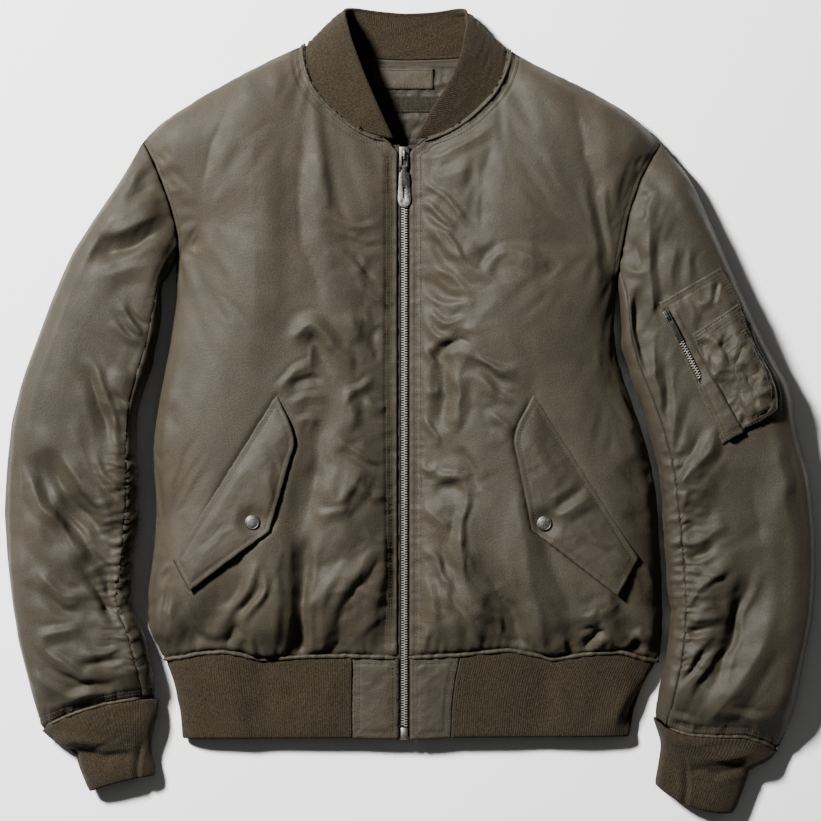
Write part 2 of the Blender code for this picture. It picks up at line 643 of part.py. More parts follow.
def surface_of(grids):
    """A tree of the faces of these grids, to find heights on."""
    points, faces = [], []
    for grid in grids:
        start, rows = len(points), grid.shape[1]
        points += [Vector(point) for column in grid for point in column]
        for i, j in np.ndindex(grid.shape[0] - 1, rows - 1):
            a = start + i * rows + j
            faces += [(a, a + rows, a + rows + 1), (a, a + rows + 1, a + 1),
                      (a, a + rows, a + 1), (a + rows, a + rows + 1, a + 1)]
    return BVHTree.FromPolygons(points, faces)


def height_on(tree, x, y):
    """The height of the highest face at x, y."""
    return tree.ray_cast(Vector((x, y, 500)), Vector((0, 0, -1)))[0].z


def lying_on(tree, plan, lift=0.0):
    """A plan grid of (x, y), laid over the surface and raised where its facets would cut into it."""
    grid = np.zeros((*plan.shape[:2], 3))
    grid[..., :2] = plan[..., :2]
    for i, j in np.ndindex(plan.shape[:2]):
        grid[i, j, 2] = height_on(tree, *plan[i, j, :2]) + CLEARANCE
    steps = np.linspace(0, 1, 6)
    for _ in range(3):
        raised = grid[..., 2].copy()
        for i, j in np.ndindex(grid.shape[0] - 1, grid.shape[1] - 1):
            corners = grid[i: i + 2, j: j + 2]
            short = 0.0
            for a in steps:
                for b in steps:
                    low = corners[0, 0] * (1 - a) + corners[1, 0] * a
                    high = corners[0, 1] * (1 - a) + corners[1, 1] * a
                    point = low * (1 - b) + high * b
                    short = max(short, height_on(tree, point[0], point[1]) + CLEARANCE - point[2])
            cell = raised[i: i + 2, j: j + 2]
            cell[:] = np.maximum(cell, corners[..., 2] + short * 0.7)
        grid[..., 2] = raised
    grid[..., 2] += lift
    return grid


def plate(name, bottom, thickness, material):
    """A wall over a grid that lies on a panel."""
    top = bottom.copy()
    top[..., 2] += thickness
    return wall(name, top, bottom, material)


def edge_plan(edges, across, up):
    """A grid of (x, y) inside four curved edges: left and right run up, low and high run across."""
    curves = {name: along(points, np.linspace(0, 1, (up if name in ("left", "right") else across) + 1))
              for name, points in edges.items()}
    return patch(curves["left"], curves["right"], curves["low"], curves["high"])[0]


def quad_plan(low_left, low_right, high_right, high_left, across, up):
    """An even grid of (x, y) inside four corners."""
    edges = dict(left=[low_left, high_left], right=[low_right, high_right],
                 low=[low_left, low_right], high=[high_left, high_right])
    return edge_plan(edges, across, up)


# ---------------------------------------------------------------- trims


def pocket_flap(side, tree):
    """A flap whose free side stands a little off the front, as its padding makes it."""
    corner = FLAPS[side]
    cells, depth = 8, 5
    sewn_edge = along([corner["low"], corner["high"]], np.linspace(0, 1, cells + 1))
    free_edge = along([corner["toe"], corner["heel"]], np.linspace(0, 1, cells + 1))
    low_side = along([corner["low"], corner["toe"]], np.linspace(0, 1, depth + 1))
    high_side = joined(along([corner["high"], corner["knee"]], np.linspace(0, 1, 3)),
                       along([corner["knee"], corner["heel"]], np.linspace(0, 1, depth - 1)))
    plan = patch(low_side, high_side, sewn_edge, free_edge)[0]
    from_sewn = np.linspace(0, 1, depth + 1)[None, :]
    from_low = np.linspace(0, 1, cells + 1)[:, None]
    lift = FLAP_LIFT * from_sewn**1.5 * np.sin((0.15 + 0.85 * from_low) * math.pi / 2)
    bottom = lying_on(tree, plan, lift)
    if side == "left":
        bottom = bottom[::-1]
    return plate("pocket_flap_" + side, bottom, FLAP_WALL, "nylon")


def dome(bm, centre, radius, height, steps=16):
    """A low cap with a rounded rim, by its rings."""
    rings = []
    for share, rise in ((0.55, 0.96), (0.85, 0.7), (1.0, 0.3), (1.0, 0.0)):
        ring = []
        for turn in np.linspace(0, 2 * math.pi, steps, endpoint=False):
            place = (centre[0] + radius * share * math.cos(turn),
                     centre[1] + radius * share * math.sin(turn), centre[2] + height * rise)
            ring.append(bm.verts.new(Vector(place) * MM))
        rings.append(ring)
    bm.faces.new(rings[0])
    bm.faces.new(rings[-1])
    for upper, lower in zip(rings, rings[1:]):
        for i in range(steps):
            bm.faces.new((upper[i], upper[i - 1], lower[i - 1], lower[i]))


def snap(side, flap):
    """The cap of a press stud, resting on its flap."""
    x, y = SNAPS[side]
    tree = BVHTree.FromObject(flap, bpy.context.evaluated_depsgraph_get())
    tops = []
    for turn in np.linspace(0, 2 * math.pi, 12, endpoint=False):
        place = Vector((x + SNAP_RADIUS * math.cos(turn), y + SNAP_RADIUS * math.sin(turn), 500)) * MM
        tops.append(tree.ray_cast(place, Vector((0, 0, -1)))[0].z / MM)
    centre = (x, y, max(tops) + 0.3)
    add_object("snap_" + side, lambda bm: dome(bm, centre, SNAP_RADIUS, SNAP_HEIGHT), "snap_metal")


def zip_height(y):
    """The height of the fronts' edges along the zip."""
    points = [tuple(hem_patch("right")[-1][0][1:])] + [point[1:] for point in SEAMS["zip_edge_right"][1]]
    return float(np.interp(y, [point[0] for point in points], [point[1] for point in points]))


def strip_along_zip(name, x_low, x_high, drop, thickness, y_low, y_high, material, cells=12):
    """A flat strip beside the zip's line, its top this far under the fronts' edges."""
    rows = np.linspace(y_low, y_high, cells + 1)
    top = np.array([[(x, y, zip_height(y) - drop) for y in rows] for x in (x_low, x_high)])
    return wall(name, top, top - (0, 0, thickness), material)


def main_zip():
    hem_y = float(hem_patch("right")[-1][0][1])
    chain_y = MAIN_HINGE_Y - MAIN_ZIP["hinge"] - 0.3
    near = CHAIN_HALF_WIDTH + 0.3
    strip_along_zip("zip_tape_right", ZIP_X - TAPE_REACH, ZIP_X - near, 2.5, TAPE_WALL, hem_y, 255, "tape")
    strip_along_zip("zip_tape_left", ZIP_X + near, ZIP_X + TAPE_REACH, 2.5, TAPE_WALL, hem_y, 255, "tape")
    strip_along_zip("zip_chain", ZIP_X - CHAIN_HALF_WIDTH, ZIP_X + CHAIN_HALF_WIDTH, 0.8, CHAIN_THICKNESS,
                    hem_y + BOX_LENGTH, chain_y, "zip_metal")
    strip_along_zip("zip_box", ZIP_X - CHAIN_HALF_WIDTH, ZIP_X + CHAIN_HALF_WIDTH, 0.2, 3.4,
                    hem_y, hem_y + BOX_LENGTH, "zip_metal", cells=1)
    top = zip_height(MAIN_HINGE_Y) + 1.3
    start = (ZIP_X, MAIN_HINGE_Y - MAIN_ZIP["hinge"], top)
    slider_and_pull("zip", MAIN_ZIP, start, 0.0)


def box(bm, low, high, place):
    """A closed box between two corners, moved by place."""
    corners = [Vector((x, y, z)) for x in (low[0], high[0]) for y in (low[1], high[1])
               for z in (low[2], high[2])]
    made = [bm.verts.new(place(corner) * MM) for corner in corners]
    for face in ((0, 1, 3, 2), (4, 6, 7, 5), (0, 4, 5, 1), (2, 3, 7, 6), (0, 2, 6, 4), (1, 5, 7, 3)):
        bm.faces.new([made[i] for i in face])


def placed(origin, turn, slope=0.0):
    """Moves a local point: turned about z, moved, and raised by the slope along its own y."""
    cosine, sine = math.cos(turn), math.sin(turn)

    def place(point):
        x, y = point.x * cosine - point.y * sine, point.x * sine + point.y * cosine
        return Vector((origin[0] + x, origin[1] + y, origin[2] + point.z + slope * point.y))

    return place


def union(name, material, boxes, place):
    """Boxes that overlap, joined into one body."""
    made = add_object(name, lambda bm: box(bm, *boxes[0], place), material)
    for number, corners in enumerate(boxes[1:]):
        tool = add_object(f"{name}_tool_{number}", lambda bm: box(bm, *corners, place), material)
        tool.hide_render = True
        tool.display_type = "WIRE"
        join = made.modifiers.new(f"join_{number}", "BOOLEAN")
        join.operation = "UNION"
        join.solver = "EXACT"
        join.object = tool
    return made


def pull(bm, rows, half_thick, place):
    """A flat pull from its rows. Each has four points across, and the hole is between the middle two."""
    upper, lower = [
        [[bm.verts.new(place(Vector((x, -reach, z))) * MM) for x in (-wide, -hole, hole, wide)]
         for reach, hole, wide, _ in rows]
        for z in (half_thick, -half_thick)]

    def filled(row, cell):
        inside = 0 <= row < len(rows) - 1 and 0 <= cell < 3
        return inside and (cell != 1 or rows[row][3])

    for row in range(len(rows)):
        for cell in range(4):
            if filled(row, cell):
                for side in (upper, lower):
                    near, far = side[row], side[row + 1]
                    bm.faces.new((near[cell], near[cell + 1], far[cell + 1], far[cell]))
            if filled(row, cell) != filled(row - 1, cell):
                top, under = upper[row], lower[row]
                bm.faces.new((top[cell], top[cell + 1], under[cell + 1], under[cell]))
            if filled(row, cell) != filled(row, cell - 1):
                bm.faces.new((upper[row][cell], upper[row + 1][cell], lower[row + 1][cell], lower[row][cell]))


def slider_and_pull(name, size, start, turn, slope=0.0):
    """A slider that starts at its top's lower end, and its pull, whose bar the bridge holds."""
    bar, hinge, half, post = size["bar"], size["hinge"], size["half"], size["post"]
    clear = 1.35 * bar  # the bar's corner, as it turns
    bar_height = clear + 0.3
    roof, near, far = 2 * bar_height, clear + 0.4, clear + 2.4
    body = [
        ((-half, 0, -size["thick"]), (half, size["length"], 0)),
        ((-post, hinge - far, -0.4), (post, hinge - near, roof + 0.6)),
        ((-post, hinge + near, -0.4), (post, hinge + far + 1.6, roof + 0.6)),
        ((-post, hinge - far, roof), (post, hinge + far + 1.6, roof + 1.2)),
    ]
    union(name + "_slider", "zip_metal", body, placed(start, turn, slope))

    bar_place = placed(start, turn, slope)(Vector((0, hinge, bar_height)))
    place = placed(bar_place, turn, slope + size["tilt"])
    add_object(name + "_pull", lambda bm: pull(bm, size["pull"], bar * 0.9, place), "zip_metal")


def sleeve_pocket(sleeve_top):
    """The pouch on the sleeve, its two pen pockets and the zip along its edge."""
    tops = [sleeve_top]
    layers = (("sleeve_pocket", POUCH, (6, 8)), ("pen_pocket_back", PEN_POCKETS["back"], (4, 6)),
              ("pen_pocket_front", PEN_POCKETS["front"], (3, 4)))
    for name, edges, cells in layers:
        bottom = lying_on(surface_of(tops), edge_plan(edges, *cells))
        plate(name, bottom, POUCH_WALL, "nylon")
        tops.append(bottom + (0, 0, POUCH_WALL))
    start, end = (np.array(point, float) for point in SLEEVE_ZIP_LINE)
    run = (end - start) / np.linalg.norm(end - start)
    aside = np.array([run[1], -run[0]])
    pouch = surface_of(tops[:2])
    chain_start = start + run * (SLEEVE_ZIP["length"] + 0.3)
    half = SLEEVE_CHAIN_HALF_WIDTH
    middle = along([chain_start, end], np.linspace(0, 1, 9))
    chain = lying_on(pouch, np.stack([middle + aside * half, middle - aside * half]))
    chain[..., 2] = chain[..., 2].max(axis=0, keepdims=True)
    plate("sleeve_zip_chain", chain, SLEEVE_CHAIN_THICKNESS, "zip_metal")
    seat = [height_on(pouch, *(start + run * step + aside * off))
            for step in np.linspace(0, SLEEVE_ZIP["length"], 7)
            for off in (-SLEEVE_ZIP["half"], 0, SLEEVE_ZIP["half"])]
    top = max(seat) + CLEARANCE + SLEEVE_ZIP["thick"]
    low_end = start + run * SLEEVE_ZIP["length"]
    slider_and_pull("sleeve_zip", SLEEVE_ZIP, (*low_end, top), math.atan2(run[0], -run[1]))


def neck_lining():
    """The lining and its two blank labels, where the neck opening shows them."""
    base = PADDED_WALL + 0.3
    pieces = {
        "neck_lining": ([(-34, 246), (26, 246), (62, 334), (-72, 334)], base, 1.2, (6, 6)),
        "neck_label": ([(-38, 310), (22, 310), (22, 330), (-38, 330)], base + 1.5, 0.8, (3, 2)),
        "care_label": ([(-22, 287), (28, 287), (28, 303), (-22, 303)], base + 1.5, 0.8, (3, 2)),
    }
    for name, (corners, height, thickness, cells) in pieces.items():
        plan = quad_plan(*corners, *cells)
        bottom = np.concatenate([plan, np.full((*plan.shape[:2], 1), height)], axis=2)
        plate(name, bottom, thickness, "lining")


def front_thickness(grid):
    """The fronts thin towards the zip."""
    away = np.abs(grid[..., 0] - ZIP_X) - ZIP_HALF_GAP
    return EDGE_WALL + (PADDED_WALL - EDGE_WALL) * np.clip(away / EDGE_TAPER, 0, 1)


def main():
    clear_scene()
    top_right, under_right = sleeve_pieces("right")
    top_left, under_left = sleeve_pieces("left")
    right, left = front_right(), front_left()
    shells = {
        "front_right": (right, front_thickness(right), "nylon"),
        "front_left": (left, front_thickness(left), "nylon"),
        "back": (back(), PADDED_WALL, "nylon"),
        "sleeve_top_right": (top_right, PADDED_WALL, "nylon"),
        "sleeve_under_right": (under_right, PADDED_WALL, "nylon"),
        "sleeve_top_left": (top_left, PADDED_WALL, "nylon"),
        "sleeve_under_left": (under_left, PADDED_WALL, "nylon"),
        "cuff_right": (cuff("right"), RIB_WALL, "rib"),
        "cuff_left": (cuff("left"), RIB_WALL, "rib"),
        "collar": (collar(), RIB_WALL, "rib"),
        "hem_rib": (hem_rib(), RIB_WALL, "rib"),
        "hem_patch_right": (hem_patch("right"), PATCH_WALL, "nylon"),
        "hem_patch_left": (hem_patch("left"), PATCH_WALL, "nylon"),
    }
    normals = shared_normals([shell[0] for shell in shells.values()])
    for name, (grid, thickness, material) in shells.items():
        inner = inner_grid(grid, thickness, normals)
        wall(name, grid, inner, material, closed=name.startswith("cuff"))
    fronts = surface_of([right, left])
    for side in ("right", "left"):
        flap = pocket_flap(side, fronts)
        bpy.context.view_layer.update()
        snap(side, flap)
    main_zip()
    sleeve_pocket(top_left)
    neck_lining()


main()
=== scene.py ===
# %% [markdown]
# # A padded flight jacket, zipped up and laid on its back
#
# This lesson dresses a jacket whose plain solids are already made at their real size. Lengths are
# in millimetres, and become metres when a mesh is written. The jacket lies on the plane z = 0 with
# its collar towards +Y, and "left" and "right" are the wearer's.

import json
import math

import bmesh
import bpy
import numpy as np
from mathutils import Matrix, Vector
from mathutils.bvhtree import BVHTree

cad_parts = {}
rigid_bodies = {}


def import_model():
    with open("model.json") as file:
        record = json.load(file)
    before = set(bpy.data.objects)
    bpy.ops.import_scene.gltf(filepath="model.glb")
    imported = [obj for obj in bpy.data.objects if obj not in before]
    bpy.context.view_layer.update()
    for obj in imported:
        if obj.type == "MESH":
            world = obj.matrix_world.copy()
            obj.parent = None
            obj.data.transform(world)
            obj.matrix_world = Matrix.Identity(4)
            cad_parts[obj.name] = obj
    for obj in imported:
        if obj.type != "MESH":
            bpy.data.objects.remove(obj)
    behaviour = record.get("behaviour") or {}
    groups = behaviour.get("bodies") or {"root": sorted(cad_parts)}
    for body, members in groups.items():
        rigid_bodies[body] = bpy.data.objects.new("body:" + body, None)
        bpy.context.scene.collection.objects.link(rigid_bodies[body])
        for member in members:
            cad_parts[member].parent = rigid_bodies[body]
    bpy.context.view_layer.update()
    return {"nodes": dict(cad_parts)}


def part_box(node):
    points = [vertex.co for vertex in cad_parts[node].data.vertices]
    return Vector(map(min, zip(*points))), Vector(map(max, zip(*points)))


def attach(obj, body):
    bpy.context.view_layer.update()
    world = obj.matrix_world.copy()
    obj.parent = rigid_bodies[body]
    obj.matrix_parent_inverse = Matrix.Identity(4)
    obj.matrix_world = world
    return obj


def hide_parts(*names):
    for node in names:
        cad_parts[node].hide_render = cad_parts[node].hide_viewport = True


for old in list(bpy.data.objects):
    bpy.data.objects.remove(old, do_unlink=True)
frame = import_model()
MM = 0.001
UP, DOWN = Vector((0, 0, 1)), Vector((0, 0, -1))

# %% [markdown]
# ## Objects
#
# Every mesh here is shaped as a bmesh and then written once, as an object that sits at the origin,
# unturned and unscaled. Each piece also says which body it rides on, and which plain solid it takes
# the place of.

# %% Objects and what they belong to
def finished(name, mesh, material, smooth=True):
    """An object at the origin, unturned, whose mesh is in metres."""
    if smooth:
        mesh.shade_smooth()
    obj = bpy.data.objects.new(name, mesh)
    bpy.context.scene.collection.objects.link(obj)
    if material:
        mesh.materials.append(material)
    return obj


def joined_object(name, bm, material, smooth=True):
    """A finished object from a bmesh."""
    mesh = bpy.data.meshes.new(name)
    bm.to_mesh(mesh)
    bm.free()
    return finished(name, mesh, material, smooth)


def belonging(piece, node=None, body="jacket"):
    """The piece, with its body and the solid that it replaces."""
    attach(piece, body)
    if node:
        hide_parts(node)
    return piece


def solid_of(node):
    """A plain solid as a bmesh of its own."""
    bm = bmesh.new()
    bm.from_mesh(frame["nodes"][node].data)
    return bm


# %% [markdown]
# ## Camera, light and floor
#
# A garment laid flat is looked at from straight above. A long lens keeps the perspective low, so the
# raised folds don't lean outwards. One firm light from the upper left draws the folds and throws
# short shadows to the lower right. Two weak lights and a faint even glow keep the shadows open.

# %% The camera
VIEW_WIDTH = 788.2 * MM
LENS = 200.0  # mm, as is the sensor
SENSOR = 36.0
FOCUS_HEIGHT = 25 * MM

camera_data = bpy.data.cameras.new("camera")
camera_data.lens = LENS
camera_data.sensor_width = SENSOR
camera_data.clip_end = 100
camera = bpy.data.objects.new("camera", camera_data)
camera.location = (0, 0, FOCUS_HEIGHT + VIEW_WIDTH * LENS / SENSOR)
bpy.context.scene.collection.objects.link(camera)
bpy.context.scene.camera = camera
print("the camera hangs", round(camera.location.z, 2), "m above the floor")


# %% Lights
def light(name, energy, size, place):
    """A square lamp at a place, turned towards the jacket."""
    data = bpy.data.lights.new(name, "AREA")
    data.energy = energy
    data.size = size
    lamp = bpy.data.objects.new(name, data)
    lamp.location = place
    lamp.rotation_euler = (-Vector(place)).to_track_quat("-Z", "Y").to_euler()
    bpy.context.scene.collection.objects.link(lamp)


light("key", 500, 0.5, (-1.9, 1.59, 2.25))
light("rim", 1.5, 0.8, (1.9, 0.9, 1.1))
light("fill", 1.5, 2.0, (-0.6, 0.6, 3.4))

GLOW = 0.05
world = bpy.data.worlds.new("studio")
world.use_nodes = True
background = world.node_tree.nodes["Background"]
background.inputs["Color"].default_value = (1, 1, 1, 1)
background.inputs["Strength"].default_value = GLOW
bpy.context.scene.world = world

# %% The floor
FLOOR_SIZE = 12.0  # m, so that a low view doesn't see its end

bm = bmesh.new()
bmesh.ops.create_grid(bm, x_segments=2, y_segments=2, size=FLOOR_SIZE / 2)
floor = joined_object("floor", bm, None, smooth=False)
print("floor:", FLOOR_SIZE, "m across")

# %% [markdown]
# ## Reading a panel back from its solid
#
# Each cloth solid is a wall: an outer face, an inner face and a narrow rim, all in triangles. A
# cloth piece needs only the outer face, as a net of columns and rows, because folds are easiest to
# lay on a net. The rim is known by its short edges, which are as long as the wall is thick. What is
# left falls into two faces, and the wanted one is the larger, or the one that looks up or down.
#
# Flat stretches of the face have lost their inner points, so the net can't be read off them one by
# one. Instead the face is ironed flat on to a unit square: its four edges go to the square's edges,
# and every inner point settles in the middle of its neighbours. An even net on the square, lifted
# back on to the face, is then an even net on the cloth. A cuff is a tube that kept all its points,
# so its rings are walked one after another.

# %% The outer face of a wall
def face_of(node, thin, thick, towards=None):
    """Points (mm) and triangles of one face of a wall whose thickness lies between thin and thick."""
    bm = solid_of(node)
    bmesh.ops.remove_doubles(bm, verts=bm.verts, dist=0.01 * MM)
    rim = [f for f in bm.faces if any(thin < e.calc_length() / MM < thick for e in f.edges)]
    seen, found = set(rim), []
    for start in bm.faces:
        if start in seen:
            continue
        spread = [start]
        seen.add(start)
        for triangle in spread:
            for edge in triangle.edges:
                for other in edge.link_faces:
                    if other not in seen:
                        seen.add(other)
                        spread.append(other)
        found.append(spread)

    def weight(spread):
        """The area of a face, counted only as far as it looks the wanted way."""
        return sum(f.calc_area() * (f.normal.dot(towards) if towards else 1) for f in spread)

    best = max(found, key=weight)
    bm.verts.index_update()
    points = np.array([v.co for v in bm.verts], float) / MM
    triangles = [[v.index for v in triangle.verts] for triangle in best]
    bm.free()
    return points, triangles


def rings_of(triangles):
    """The loops of edges with a triangle on one side only, each in its walking order."""
    edges = {edge for a, b, c in triangles for edge in ((a, b), (b, c), (c, a))}
    ahead = {a: b for a, b in edges if (b, a) not in edges}
    rings = []
    while ahead:
        ring = [min(ahead)]
        while ring[-1] in ahead:
            ring.append(ahead.pop(ring[-1]))
        rings.append(ring[:-1])
    return sorted(rings, key=len)


# %% Ironing a face flat
def lengths_along(points):
    """How far along a line each of its points is."""
    steps = np.linalg.norm(np.diff(points, axis=0), axis=-1)
    return np.concatenate([[0], np.cumsum(steps)])


def read_at(at, far, values):
    """Rows of values read at these distances, where far holds the distance of each row."""
    return np.stack([np.interp(at, far, values[:, axis]) for axis in range(values.shape[1])], axis=1)


def ironed(points, triangles, fixed):
    """Flat places for a face's points, of which the fixed ones are given."""
    used = sorted({point for triangle in triangles for point in triangle})
    place = {point: k for k, point in enumerate(used)}
    pull, target = np.zeros((len(used), len(used))), np.zeros((len(used), 2))
    for a, b, c in triangles:
        for here, there in ((a, b), (b, c), (c, a), (b, a), (c, b), (a, c)):
            pull[place[here], place[there]] = -1 / max(np.linalg.norm(points[here] - points[there]), 1)
    pull[range(len(used)), range(len(used))] = -pull.sum(axis=1)
    for point, where in fixed.items():
        pull[place[point]] = 0
        pull[place[point], place[point]] = 1
        target[place[point]] = where
    return np.linalg.solve(pull, target), place


def lifted(points, triangles, flat, place, spots):
    """The points of the face that lie at these flat spots."""
    tree = BVHTree.FromPolygons([(x, y, 0) for x, y in flat],
                                [[place[point] for point in triangle] for triangle in triangles])
    found = np.zeros(spots.shape[:-1] + (3,))
    for index in np.ndindex(spots.shape[:-1]):
        hit, _, nearest, _ = tree.find_nearest(Vector((*spots[index], 0)))
        a, b, c = (np.append(flat[place[point]], 0) for point in triangles[nearest])
        hit = np.array(hit)
        turn = np.cross(b - a, c - a)[2]
        shares = np.array([np.cross(b - hit, c - hit)[2], np.cross(c - hit, a - hit)[2],
                           np.cross(a - hit, b - hit)[2]])
        shares = shares / turn if abs(turn) > 1e-12 else np.array([1, 0, 0])
        found[index] = shares @ points[triangles[nearest]]
    return found


# %% Nets of panels
SQUARE = np.array([(0, 0), (1, 0), (1, 1), (0, 1)], float)
PADDED = (3.57, 3.65)  # mm, the thickness of the solids' walls, from and to
FRONT = (1.55, 3.65)
RIB = (2.5, 2.83)
PLATE = (1.5, 2.65)
CUFF = (1.5, 3.6)
LINING_WALL = (1.1, 1.3)
LABEL_WALL = (0.7, 0.9)
nets = {}  # each cloth solid's net, by its node


def corner_of(points, ring, corner):
    """A corner is the point furthest in a direction (x, y, z), or the nearest to a place, a Vector."""
    if isinstance(corner, Vector):
        return int(np.argmin(np.linalg.norm(points[ring] - np.array(corner) / MM, axis=1)))
    way = np.array(corner, float)
    return int(np.argmax(points[ring][:, : len(way)] @ way))


def read_net(node, corners, columns, rows, wall, towards=None):
    """Reads a panel as a net [column][row]. Its corners go round it, seen from outside."""
    points, triangles = face_of(node, *wall, towards)
    ring = rings_of(triangles)[-1]
    start = corner_of(points, ring, corners[0])
    ring = ring[start:] + ring[:start]
    stops = [corner_of(points, ring, corner) for corner in corners] + [len(ring)]
    fixed = {}
    for side, (start, stop) in enumerate(zip(stops, stops[1:])):
        edge = (ring + ring[:1])[start: stop + 1]
        share = lengths_along(points[edge])
        for point, way in zip(edge[:-1], share / share[-1]):
            fixed[point] = SQUARE[side] * (1 - way) + SQUARE[(side + 1) % 4] * way
    flat, place = ironed(points, triangles, fixed)
    spots = np.stack(np.meshgrid(np.linspace(0, 1, columns + 1), np.linspace(0, 1, rows + 1),
                                 indexing="ij"), axis=-1)
    nets[node] = lifted(points, triangles, flat, place, spots)
    found = points[[ring[stop] for stop in stops[:4]]]
    print(node, len(ring), "corners:", found.round().astype(int).tolist())


# %% Nets of tubes
def read_tube(node, side, opening, wall):
    """Reads a tube as a net [round][along]. Its rings are walked from the sleeve's end to the opening."""
    points, triangles = face_of(node, *wall)
    linked = {}
    for a, b, c in triangles:
        for here, *there in ((a, b, c), (b, c, a), (c, a, b)):
            linked.setdefault(here, set()).update(there)
    first = min(rings_of(triangles)[-2:], key=lambda ring: points[ring, :2].mean(axis=0) @ opening)
    ring, seen, rings = set(first), set(), []
    while ring:
        seen |= ring
        line = [max(ring, key=lambda point: points[point, :2] @ side)]
        while len(line) < len(ring):
            line.append(min((linked[line[-1]] & ring) - set(line), key=lambda point: points[point, 2]))
        rings.append(points[line + line[:1]])
        ring = set().union(*(linked[point] for point in ring)) - seen
    nets[node] = np.stack(rings, axis=1)
    print(node, nets[node].shape[:2], "starts:", nets[node][0, [0, -1]].round().astype(int).tolist())


# %% Reading the padded panels
def box_corner(node, x, y):
    """A corner of a node's box, at its top. x and y are 0 for the low side and 1 for the high one."""
    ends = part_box(node)
    return Vector((ends[x][0], ends[y][1], ends[1][2]))


read_net("front_right", [(-1, -4), (1, -3), (0.3, 1), (-1, 0.5)], 18, 38, FRONT, UP)
read_net("front_left", [(-1, -3), (1, -4), (1, 0.5), (-0.3, 1)], 18, 38, FRONT, UP)
read_net("back", [(1, -4), (-1, -4), (-1, 0.5), (1, 0.5)], 36, 38, PADDED, DOWN)
read_net("sleeve_top_right", [(-1, -2), (1, -1.5), (1, 0.1), (0.1, 1)], 14, 34, PADDED, UP)
read_net("sleeve_top_left", [(-1, -1.5), (1, -2), (-0.1, 1), (-1, -0.1)], 14, 34, PADDED, UP)
for side in ("right", "left"):
    top_sleeve = nets["sleeve_top_" + side] * MM
    shared = [Vector(top_sleeve[i, j]) for i, j in ((-1, 0), (0, 0), (0, -1), (-1, -1))]
    read_net("sleeve_under_" + side, shared, 20, 34, PADDED, DOWN)

# %% Reading the ribs, patches, flaps and pockets
UPRIGHT = [(-1, -1), (1, -1), (1, 1), (-1, 1)]
SLANTED = [(-0.3, -1), (1, -0.2), (0.2, 1), (-1, 0.1)]

read_net("hem_rib", [box_corner("hem_patch_left", 1, 0), box_corner("hem_patch_right", 0, 0),
                     box_corner("hem_patch_right", 0, 1), box_corner("hem_patch_left", 1, 1)],
         60, 6, RIB, DOWN)
neck_ends = [Vector(nets["front_left"][0, -1] * MM), Vector(nets["front_right"][-1, -1] * MM)]
read_net("collar", neck_ends + [(-0.02, -1, 2), (0.02, -1, 2)], 44, 8, RIB)
for side in ("right", "left"):
    read_net("hem_patch_" + side, UPRIGHT, 6, 8, PLATE, UP)
    read_tube("cuff_" + side, (-1, 0), (0, -1), CUFF)
read_net("pocket_flap_right", [(-0.6, -1), (1, -1), (0.3, 1), (-1, 0.2)], 16, 8, PLATE, UP)
read_net("pocket_flap_left", [(-1, -1), (0.6, -1), (1, 0.2), (-0.3, 1)], 16, 8, PLATE, UP)
for node, cells in (("sleeve_pocket", 12), ("pen_pocket_back", 8), ("pen_pocket_front", 8)):
    read_net(node, SLANTED, cells, cells, PLATE, UP)
read_net("neck_lining", UPRIGHT, 12, 8, LINING_WALL, UP)
for node in ("neck_label", "care_label"):
    read_net(node, UPRIGHT, 6, 4, LABEL_WALL, UP)

# %% [markdown]
# ## Smooth curves, finer nets
#
# A net has only a few dozen columns. A smooth curve drawn through its points, first one way and
# then the other, gives a net fine enough for creases. Each point also gets the direction that is
# outwards there, and its distance from the four edges, because cloth puckers beside a seam.

# %% Curves and nets
def through(points, at):
    """A smooth curve through points, read at places that are counted in points."""
    points, at = np.asarray(points, float), np.asarray(at, float)
    k = np.clip(at.astype(int), 0, len(points) - 2)
    t = (at - k).reshape((-1,) + (1,) * (points.ndim - 1))
    held = np.concatenate([2 * points[:1] - points[1:2], points, 2 * points[-1:] - points[-2:-1]])
    before, here, there, after = (held[k + step] for step in range(4))
    return 0.5 * (2 * here + (there - before) * t + (2 * before - 5 * here + 4 * there - after) * t ** 2
                  + (3 * here - before - 3 * there + after) * t ** 3)


def curve(points, pieces=8):
    """A smooth line through a few points, with this many pieces between two of them."""
    return through(points, np.linspace(0, len(points) - 1, pieces * (len(points) - 1) + 1))


def finer(net, across, along):
    """The same net with cells about this wide and this long (mm)."""
    for size in (across, along):
        length = np.linalg.norm(np.diff(net, axis=0), axis=-1).sum(axis=0).max()
        cells = max(2, round(length / size))
        net = through(net, np.linspace(0, len(net) - 1, cells + 1)).swapaxes(0, 1)
    return net


def outward(net):
    """The direction outwards at each point of a net."""
    normal = np.cross(np.gradient(net, axis=0), np.gradient(net, axis=1))
    return normal / np.maximum(np.linalg.norm(normal, axis=-1, keepdims=True), 1e-9)


def reach(net):
    """How far (mm) each point lies from the first and last column, and from the first and last row."""
    across = np.linalg.norm(np.diff(net, axis=0), axis=-1).cumsum(axis=0)
    along = np.linalg.norm(np.diff(net, axis=1), axis=-1).cumsum(axis=1)
    across = np.concatenate([0 * across[:1], across])
    along = np.concatenate([0 * along[:, :1], along], axis=1)
    return across, across[-1] - across, along, along[:, -1:] - along


# %% [markdown]
# ## A net becomes cloth
#
# Each piece of cloth is a flat grid that is bent on to its net, with a UV map in metres, so that a
# weave keeps its size and follows the cloth. A Solidify modifier gives it its thickness inwards, so
# the net is first kept high enough off the floor for the wall that hangs below it. The size that the
# piece was cut to is then printed: its own length and width, measured over its folds.

# %% A grid bent on to a net
laid = {}  # the net of each piece that is done, by its name


